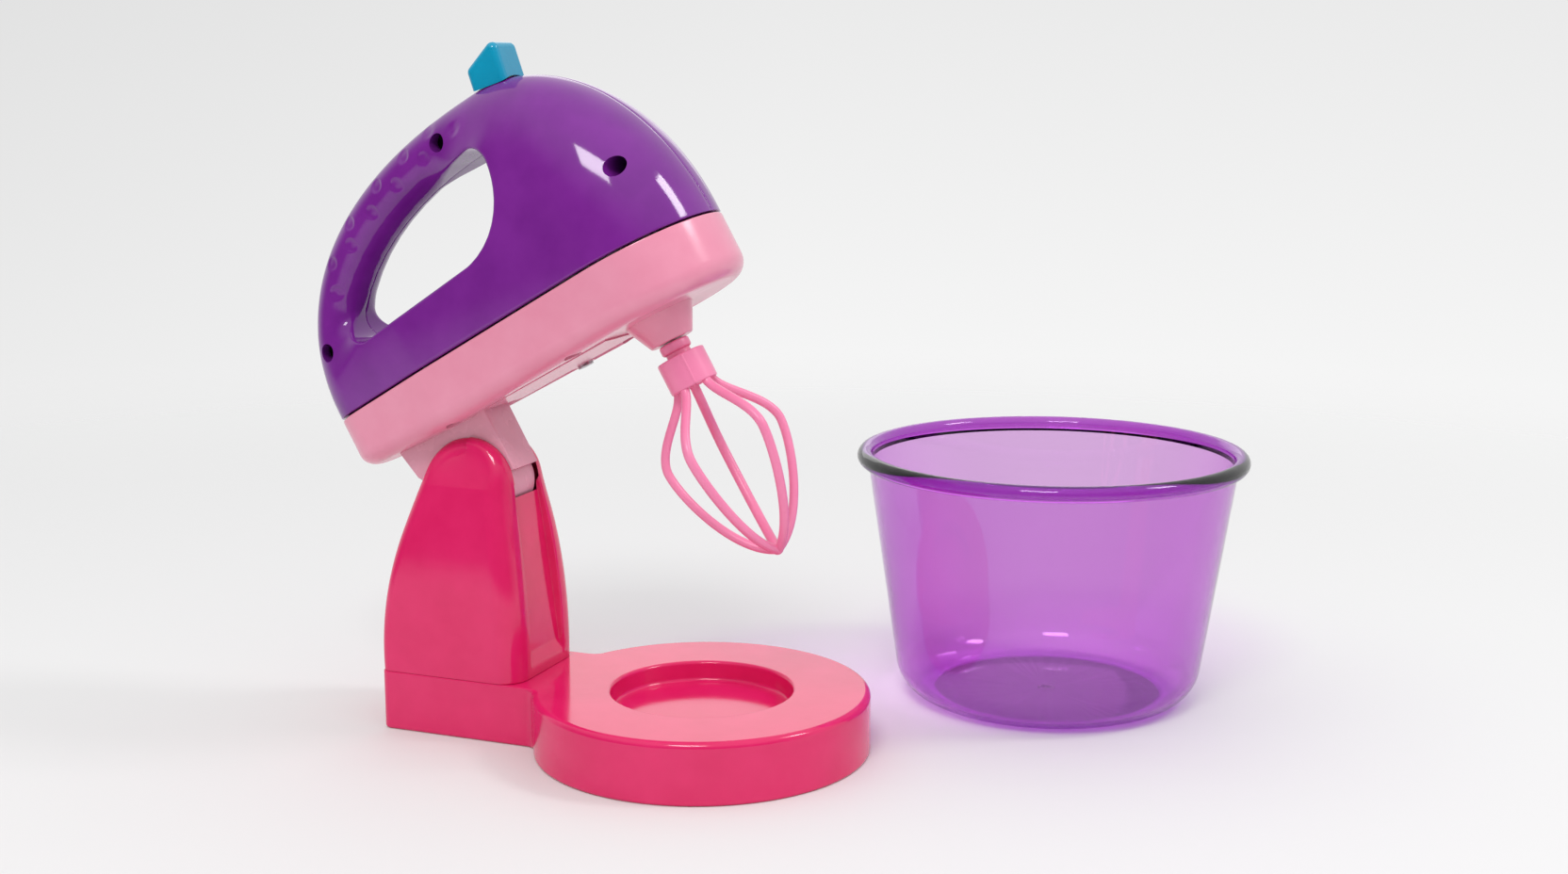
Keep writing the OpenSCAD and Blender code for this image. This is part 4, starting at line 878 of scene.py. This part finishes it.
carve(column, slab_across("slot_cutter", slot_outline, SLOT_HW + SLOT_SPARE, 0.0001, at_hinge))
carve(column, rod_across(at_hinge, 0, 0, PIN_CAP_R, ARCH_HW - PIN_CAP_DEPTH, PAST_SIDE))
print("slot and pin hole cut,", len(column.data.polygons), "faces left")
place_piece(column, "stand", magenta_abs, ["column"], crease=32)

# %% [markdown]
# The base is a disc and a foot in one moulding, with hollow corners where they meet.
# Its outline is arcs and straight lines, so a smaller copy of it is easy to work out,
# and that gives the rounded top and bottom edges. The disc's top edge is rounded by 2 mm;
# along the foot it is only broken, because the column stands on it.

# %% Outline of the base
DISC_R, RECESS_R, RECESS_FLOOR_Z = 52.0, 28.0, 12.5
BLEND_R, CORNER_R = 5.0, 3.0
DISC_EDGE, FOOT_EDGE, BOTTOM_EDGE, BASE_MIDDLE_Z = 2.0, 0.4, 1.0, 10.0
blend_y = FOOT_HW + BLEND_R
blend_x = -math.sqrt((DISC_R + BLEND_R) ** 2 - blend_y ** 2)
disc_end = math.degrees(math.atan2(blend_y, blend_x))
corner_x = -FOOT_REACH + CORNER_R
corner_y = FOOT_HW - CORNER_R


def base_half():
    """Half of the outline: centre, radius, sign of the inset, direction and top edge radius of each point."""
    half = [(0, 0, DISC_R, -1, disc_end * i / 76, DISC_EDGE) for i in range(77)]
    for share in (i / 10 for i in range(1, 11)):
        edge = mix(DISC_EDGE, FOOT_EDGE, ease(share))
        half.append((blend_x, blend_y, BLEND_R, 1, mix(disc_end - 180, -90, share), edge))
    half += [(mix(blend_x, corner_x, i / 16), corner_y, CORNER_R, -1, 90, FOOT_EDGE) for i in range(1, 16)]
    half += [(corner_x, corner_y, CORNER_R, -1, mix(90, 180, i / 6), FOOT_EDGE) for i in range(7)]
    half += [(corner_x, mix(corner_y, 0, i / 8), CORNER_R, -1, 180, FOOT_EDGE) for i in range(1, 9)]
    return half


half_outline = base_half()
BASE_OUTLINE = half_outline + [(x, -y, r, sign, -angle, top) for x, y, r, sign, angle, top in
                               reversed(half_outline[1:-1])]


def base_row(z, inset, top_inset=0.0, top_drop=0.0):
    """A row round the base at height z, drawn in by inset, and by shares of the top edge's radius."""
    row = []
    for x, y, r, sign, angle, top in BASE_OUTLINE:
        out_x, out_y = rotated(r + sign * (inset + top_inset * top), 0, math.radians(angle))
        row.append((x + out_x, y + out_y, z - top_drop * top))
    return row


base_rows = [base_row(BOTTOM_EDGE * b, BOTTOM_EDGE * a) for a, b in quarter(5)]
base_rows.append(base_row(BASE_MIDDLE_Z, 0.0))
base_rows += [base_row(BASE_H, 0.0, b, a) for a, b in quarter(6)]
print(len(BASE_OUTLINE), "points round the base, disc to", round(disc_end, 1), "degrees")

# %% [markdown]
# The round recess in the disc is a turned profile. It uses the directions of the outline's points,
# so the flat top between recess and outline is one band of faces.

# %% Recess, and the base in place
RECESS_EDGE, RECESS_CORNER = 1.1, 1.4
recess_profile = rounded_path([(RECESS_R + 4, BASE_H, 0), (RECESS_R, BASE_H, RECESS_EDGE),
                               (RECESS_R, RECESS_FLOOR_Z, RECESS_CORNER), (0, RECESS_FLOOR_Z, 0)])[1:]
top_edge = base_rows[-1]
for spot in recess_profile:
    base_rows.append([(x / math.hypot(x, y) * spot.x, y / math.hypot(x, y) * spot.x, spot.y)
                      for x, y, _ in top_edge])
base_size = len(BASE_OUTLINE)
base_faces = grid_faces(len(base_rows), base_size) + [tuple(range(base_size))]
base = mesh_object("base_moulding", [point for row in base_rows for point in row], base_faces)
place_piece(base, "stand", magenta_abs, ["base"], crease=40)

# %% [markdown]
# The teal knob slides along the top of the housing. It is a wedge with well rounded edges,
# higher at its front, and its underside is hollowed so that it straddles the housing.

# %% Switch knob
KNOB_P = 64.5
knob_x = (KNOB_P - PEAK_P) / (NOSE_P - PEAK_P)
knob_slope = math.atan(-HOUSING_H / (NOSE_P - PEAK_P) * knob_x / math.sqrt(1 - knob_x ** 2))


def on_roof(t, y, n):
    """A point measured along the roof, across it and square to it, from the knob's middle."""
    along, up = rotated(t, n, knob_slope)
    return head_point(KNOB_P + along, y, SEAM_Q + housing_top(KNOB_P) + up)


KNOB_L, KNOB_W, KNOB_FOOT, KNOB_REAR_H, KNOB_FRONT_H, KNOB_ROUND = 12.5, 14.0, -2.0, 6.5, 11.0, 2.2
SADDLE_R, SADDLE_REACH, SADDLE_GAP, BALL_STEPS = 18.0, 14, 0.1, 16
knob_points = []
for t, n in ((-KNOB_L / 2, KNOB_FOOT), (KNOB_L / 2, KNOB_FOOT),
             (-KNOB_L / 2, KNOB_REAR_H), (KNOB_L / 2, KNOB_FRONT_H)):
    for y in (-KNOB_W / 2, KNOB_W / 2):
        corner = Vector((t - math.copysign(KNOB_ROUND, t), y - math.copysign(KNOB_ROUND, y), n - KNOB_ROUND))
        for i in range(2 * BALL_STEPS + 1):
            for j in range(BALL_STEPS + 1):
                a, b = math.pi * i / BALL_STEPS, math.pi * j / BALL_STEPS
                ball = Vector((math.cos(a) * math.sin(b), math.sin(a) * math.sin(b), math.cos(b)))
                knob_points.append(on_roof(*(corner + ball * KNOB_ROUND)))
knob = mesh_object("switch_knob_wedge", knob_points, [])
shape = bmesh.new()
shape.from_mesh(knob.data)
bmesh.ops.convex_hull(shape, input=shape.verts)
bmesh.ops.delete(shape, geom=[v for v in shape.verts if not v.link_faces], context="VERTS")
shape.to_mesh(knob.data)
shape.free()
saddle = turned([Vector((0, -SADDLE_REACH)), Vector((SADDLE_R, -SADDLE_REACH)),
                 Vector((SADDLE_R, SADDLE_REACH)), Vector((0, SADDLE_REACH))],
                lambda a, b, h: on_roof(h, a, b + SADDLE_GAP - SADDLE_R), 128)
carve(knob, mesh_object("saddle_cutter", *saddle))
place_piece(knob, "switch", teal_abs, ["switch_knob"], crease=35)

# %% [markdown]
# The whisk is one moulding: a ring that snaps onto the spindle, a collar,
# and five bent bars that meet at the tip. The bars are slightly flattened tubes
# swept along two curves, out to the belly and back to the tip.
# A fine raised line on the collar shows where the two halves of its mould met.

# %% Whisk collar
COLLAR_TOP_Q, COLLAR_END_Q, COLLAR_R = 6.3, -3.7, 7.6
RING_TOP_Q, RING_END_Q, RING_R, STEM_R = BOSS_END_Q - 0.3, BOSS_END_Q - 3.5, 4.8, 3.9
DISH_Q, DISH_R, DISH_FLOOR_R = COLLAR_END_Q + 0.6, 5.0, 4.6
collar_profile = rounded_path([(0, RING_TOP_Q, 0), (RING_R, RING_TOP_Q, 0.9), (RING_R, RING_END_Q, 0.9),
                               (STEM_R, RING_END_Q, 0.2), (STEM_R, COLLAR_TOP_Q, 0.4),
                               (COLLAR_R, COLLAR_TOP_Q, 0.5), (COLLAR_R, COLLAR_END_Q, 0.5),
                               (DISH_R, COLLAR_END_Q, 0.4), (DISH_FLOOR_R, DISH_Q, 0.2), (0, DISH_Q, 0)])
MOULD_LINE, MOULD_LINE_R = math.radians(-61), 6.5
MOULD_LINE_HW, MOULD_LINE_LIFT, MOULD_LINE_END = 0.45, 0.3, 0.4


def collar_point(x, y, q):
    """A point of the collar, lifted a little on the two lines where its mould parted."""
    away = math.hypot(x, y)
    if away > MOULD_LINE_R and COLLAR_END_Q + MOULD_LINE_END < q < COLLAR_TOP_Q - MOULD_LINE_END:
        swing = abs(math.sin(math.atan2(y, x) - MOULD_LINE)) * away
        lift = MOULD_LINE_LIFT * max(0.0, 1 - (swing / MOULD_LINE_HW) ** 2)
        x, y = x * (away + lift) / away, y * (away + lift) / away
    return at_spindle(x, y, q)


collar = turned(collar_profile, collar_point, 200)
print("collar profile of", len(collar_profile), "points")

# %% Whisk bars
BAR_COUNT, BAR_THICK, BAR_WIDE, TIP_R = 5, 1.35, 1.5, 1.9
BELLY_R, BELLY_DROP, WHISK_DROP = 20.0, 19.8, 54.8
WHISK_TURN = math.radians(46)


def bezier(a, b, c, d, t):
    """Point at share t of a curve with two handles."""
    return a * (1 - t) ** 3 + 3 * b * t * (1 - t) ** 2 + 3 * c * t * t * (1 - t) + d * t ** 3


def wire_path(steps=22):
    """Middle of a bar, as radius and depth below the collar."""
    root, belly, tip = Vector((6.0, 0.0)), Vector((BELLY_R, BELLY_DROP)), Vector((0.9, WHISK_DROP))
    rest = WHISK_DROP - BELLY_DROP
    out = root + Vector((1.5, 0.28 * BELLY_DROP)), belly - Vector((0.5, 0.4 * BELLY_DROP))
    back = belly + Vector((0, 0.235 * rest)), Vector((0.625 * BELLY_R, WHISK_DROP - 0.15 * rest))
    path = [Vector((5.0, -2.0))]
    path += [bezier(root, *out, belly, i / steps) for i in range(steps)]
    path += [bezier(belly, *back, tip, i / steps) for i in range(steps + 1)]
    return path


def whisk_bar(turn, sides=18):
    """One bar as a tube, turned about the spindle."""
    path = wire_path()
    points = []
    for i, spot in enumerate(path):
        ahead = (path[min(i + 1, len(path) - 1)] - path[max(i - 1, 0)]).normalized()
        for k in range(sides):
            a = 2 * math.pi * k / sides
            r = spot.x + ahead.y * BAR_THICK * math.cos(a)
            depth = spot.y - ahead.x * BAR_THICK * math.cos(a)
            x, y = rotated(r, BAR_WIDE * math.sin(a), turn)
            points.append(at_spindle(x, y, COLLAR_END_Q - depth))
    return points, tube_faces(len(path), sides)


bars = [whisk_bar(WHISK_TURN + 2 * math.pi * i / BAR_COUNT) for i in range(BAR_COUNT)]
tip_profile = arc(TIP_R, math.pi / 2, -math.pi / 2, 16, (0, COLLAR_END_Q - WHISK_DROP))
whisk = mesh_object("whisk_moulding", *joined(collar, *bars, turned(tip_profile, at_spindle, 32)))
place_piece(whisk, "whisk_drive", whisk_plastic, ["whisk"], crease=40)

# %% [markdown]
# The clear bowl is a turned profile with a real wall, because the light has to pass through two surfaces.
# Its rim is a round bead, and a small dimple in the middle of its floor is left by the moulding gate.

# %% Bowl
BOWL_X, BOWL_Y = 85.24, 94.01
BOWL_H, RIM_R, BEAD_R, LOW_R, BOWL_ROUND, BOWL_WALL = 83.5, 64.2, 2.6, 50.5, 13.0, 1.5
BEAD_START, BEAD_END, BOWL_SIDES = math.radians(-115), math.radians(178), 160
BEAD_OVERHANG, GATE_R, GATE_FLOOR_R, GATE_DEPTH = 0.7, 3.4, 2.6, 0.4
bead_z = BOWL_H - BEAD_R
bowl_top_r = RIM_R - BEAD_R - BEAD_OVERHANG
bowl_lean = math.atan((bowl_top_r - LOW_R) / (bead_z - BOWL_ROUND))
corner_middle = (LOW_R - BOWL_ROUND * math.cos(bowl_lean), BOWL_ROUND)
outside = [Vector((0, 0))] + arc(BOWL_ROUND, -math.pi / 2, -bowl_lean, 14, corner_middle)
bead = arc(BEAD_R, BEAD_START, BEAD_END, 36, (RIM_R - BEAD_R, bead_z))
inside = [Vector((bowl_top_r - BOWL_WALL - 0.1, bead_z - 0.8))]
inside += arc(BOWL_ROUND - BOWL_WALL, -bowl_lean, -math.pi / 2, 14, corner_middle)
inside += [Vector((GATE_R, BOWL_WALL)), Vector((GATE_FLOOR_R, BOWL_WALL - GATE_DEPTH + 0.05)),
           Vector((0, BOWL_WALL - GATE_DEPTH))]
bowl_shape = turned(outside + bead + inside, lambda a, b, h: Vector((BOWL_X + a, BOWL_Y + b, h)), BOWL_SIDES)
bowl = mesh_object("clear_bowl", *bowl_shape)
place_piece(bowl, "bowl", clear_purple, ["bowl"], crease=40)

# %% [markdown]
# The pieces that stay as CAD solids are the small parts: screws, pin, gears, motor, batteries,
# door and plate. Their shape is right as it is, so they only get their finish.

# %% Finishes of the carried-over solids
FINISHES = (
    (magenta_abs, ["base_plate", "hinge_pin_cap"]),
    (pink_abs, ["battery_door"]),
    (white_acetal, ["gear_plate", "compound_gear", "drive_gear", "spindle_bush"]),
    (black_plastic, ["slide_switch"]),
    (cell_jacket, ["batteries"]),
    (turned_brass, ["motor_pinion"]),
    (plated_steel, ["base_screws", "column_screws", "hinge_pin", "neck_screws", "tray_screws",
                    "battery_door_screw", "battery_contacts", "motor", "motor_shaft",
                    "gear_plate_screws", "gear_axle", "drive_spindle"]),
    # Painted shade: the housing screws get the nearly black steel, so that their deep holes look dark.
    (hole_shade_screw_steel, ["housing_screws"]),
)
for material, names in FINISHES:
    for name in names:
        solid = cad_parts[name]
        solid.data.materials.clear()
        solid.data.materials.append(material)
print("finished", sum(len(names) for _, names in FINISHES), "solids")

# %% [markdown]
# The photograph was taken on a white sweep, so floor and background have one pale colour.
# The floor is a real surface that catches the shadows near the mixer. Further out it fades away,
# and the world behind it, which has the same pale colour to the camera, takes over without an edge.
# A photographer keeps the camera's side of the room dark, so that glossy plastic keeps its colour.
# Mirrored rays meet that dark side here; straight ones, and those through the bowl,
# always meet the pale paper. The light itself comes evenly from all sides, with more of it from overhead.

# %% Floor
PAPER, FLOOR_PAPER = "#F6F6F6", "#E6E6E6"
FLOOR_HALF, FADE_FROM, FADE_TO = 3, 0.35, 0.9


def gentle_range(tree, low, high, source):
    """A node that rises gently from 0 to 1 between two values."""
    return add_node(tree, "MapRange",
                    {"interpolation_type": "SMOOTHSTEP", "From Min": low, "From Max": high},
                    {"Value": source})


def arithmetic(tree, operation, first, second):
    """A node that makes one number of two."""
    return add_node(tree, "Math", {"operation": operation}, {0: first, 1: second})


floor_mesh = bpy.data.meshes.new("floor")
floor_corners = [(x * FLOOR_HALF, y * FLOOR_HALF, 0) for x, y in ((-1, -1), (1, -1), (1, 1), (-1, 1))]
floor_mesh.from_pydata(floor_corners, [], [(0, 1, 2, 3)])
floor = bpy.data.objects.new("floor", floor_mesh)
SCENE.collection.objects.link(floor)
paper = empty_material("matt_white_paper")
tree = paper.node_tree
place = add_node(tree, "TexCoord")
fibre = noise(tree, place, 2, 3.0)
tooth = add_node(tree, "Bump", {"Strength": 0.05, "Distance": 0.02 * MM},
                 {"Height": (fibre, "Fac")})
sheet = add_node(tree, "BsdfPrincipled",
                 {"Base Color": linear(FLOOR_PAPER), "Roughness": 0.8, "Specular IOR Level": 0.2},
                 {"Normal": (tooth, "Normal")})
far = add_node(tree, "VectorMath", {"operation": "LENGTH"}, {0: (place, "Object")})
fade = gentle_range(tree, FADE_FROM, FADE_TO, (far, "Value"))
away = add_node(tree, "BsdfTransparent")
blend = add_node(tree, "MixShader",
                 links={0: (fade, "Result"), 1: (sheet, "BSDF"), 2: (away, "BSDF")})
add_node(tree, "OutputMaterial", links={"Surface": (blend, "Shader")})
floor.data.materials.append(paper)
print("floor fades from", FADE_FROM, "to", FADE_TO, "m")

# %% Room and backdrop
ROOM_SIDE, ROOM_TOP, DARK_SIDE = 0.62, 0.93, 0.12
# Direction along the backdrop, to the right in the photograph
RIGHT_WAY = (0.93, 0.366, 0.0)

world = bpy.data.worlds.new("studio")
SCENE.world = world
world.use_nodes = True
tree = world.node_tree
tree.nodes.clear()
way = add_node(tree, "TexCoord")
parts = add_node(tree, "SeparateXYZ", links={"Vector": (way, "Generated")})
behind = gentle_range(tree, -0.5, 0.3, (parts, "Y"))
overhead = gentle_range(tree, 0.25, 0.8, (parts, "Z"))
lit = arithmetic(tree, "MAXIMUM", (behind, "Result"), (overhead, "Result"))
level = add_node(tree, "MapRange", {"To Min": DARK_SIDE}, {"Value": (lit, "Value")})
height = add_node(tree, "MapRange", {"To Min": ROOM_SIDE, "To Max": ROOM_TOP},
                  {"Value": (overhead, "Result")})
room = add_node(tree, "Background", {"Color": linear("#FFFFFF")}, {"Strength": (height, "Result")})
beside = add_node(tree, "VectorMath", {"operation": "DOT_PRODUCT", 1: RIGHT_WAY},
                  {0: (way, "Generated")})
# Painted shade on the backdrop: the pale paper seen behind the mixer is drawn a little darker towards the
# left and upwards.
left_fall = add_node(tree, "MapRange",
                     {"From Min": -0.36, "From Max": 0.0, "To Min": 0.92}, {"Value": (beside, "Value")})
top_fall = add_node(tree, "MapRange",
                    {"From Min": -0.16, "From Max": 0.03, "To Min": 1.0, "To Max": 0.9},
                    {"Value": (parts, "Z")})
shade = arithmetic(tree, "MULTIPLY", (left_fall, "Result"), (top_fall, "Result"))
rays = add_node(tree, "LightPath")
straight = add_node(tree, "Math", {"operation": "SUBTRACT", 0: 1.0}, {1: (rays, "Is Glossy Ray")})
side = arithmetic(tree, "MAXIMUM", (level, "Result"), (straight, "Value"))
sided = arithmetic(tree, "MULTIPLY", (shade, "Value"), (side, "Value"))
backdrop = add_node(tree, "Background", {"Color": linear(PAPER)}, {"Strength": (sided, "Value")})
mirrored = arithmetic(tree, "MAXIMUM", (rays, "Is Glossy Ray"), (rays, "Is Transmission Ray"))
seen = arithmetic(tree, "MAXIMUM", (rays, "Is Camera Ray"), (mirrored, "Value"))
either = add_node(tree, "MixShader",
                  links={0: (seen, "Value"), 1: (room, "Background"), 2: (backdrop, "Background")})
add_node(tree, "OutputWorld", links={"Surface": (either, "Shader")})
print("room light from", ROOM_SIDE, "to", ROOM_TOP)

# %% [markdown]
# Two rectangular softboxes make the white patches that the photograph shows on the housing:
# one high up behind the camera, a little to its left, and one high up on the right.
# A third, wide and weak, stands behind the mixer outside the picture, and the disc's top reflects it.

# %% Softboxes
AIM = Vector((0.0, 0.0, 0.1))


def softbox(name, spot, width, height, power):
    """A rectangular lamp that faces the mixer."""
    data = bpy.data.lights.new(name, "AREA")
    data.shape = "RECTANGLE"
    data.size = width
    data.size_y = height
    data.energy = power
    lamp = bpy.data.objects.new(name, data)
    lamp.location = spot
    lamp.rotation_euler = (AIM - Vector(spot)).to_track_quat("-Z", "Y").to_euler()
    SCENE.collection.objects.link(lamp)
    print(name, "at", spot, power, "W")


softbox("softbox_left", (0.17, -0.87, 1.15), 0.44, 0.3, 5.5)
softbox("softbox_right", (0.92, 0.26, 1.05), 0.24, 0.3, 3.2)
softbox("softbox_rear", (-0.53, 1.2, 0.52), 0.9, 0.4, 0.67)
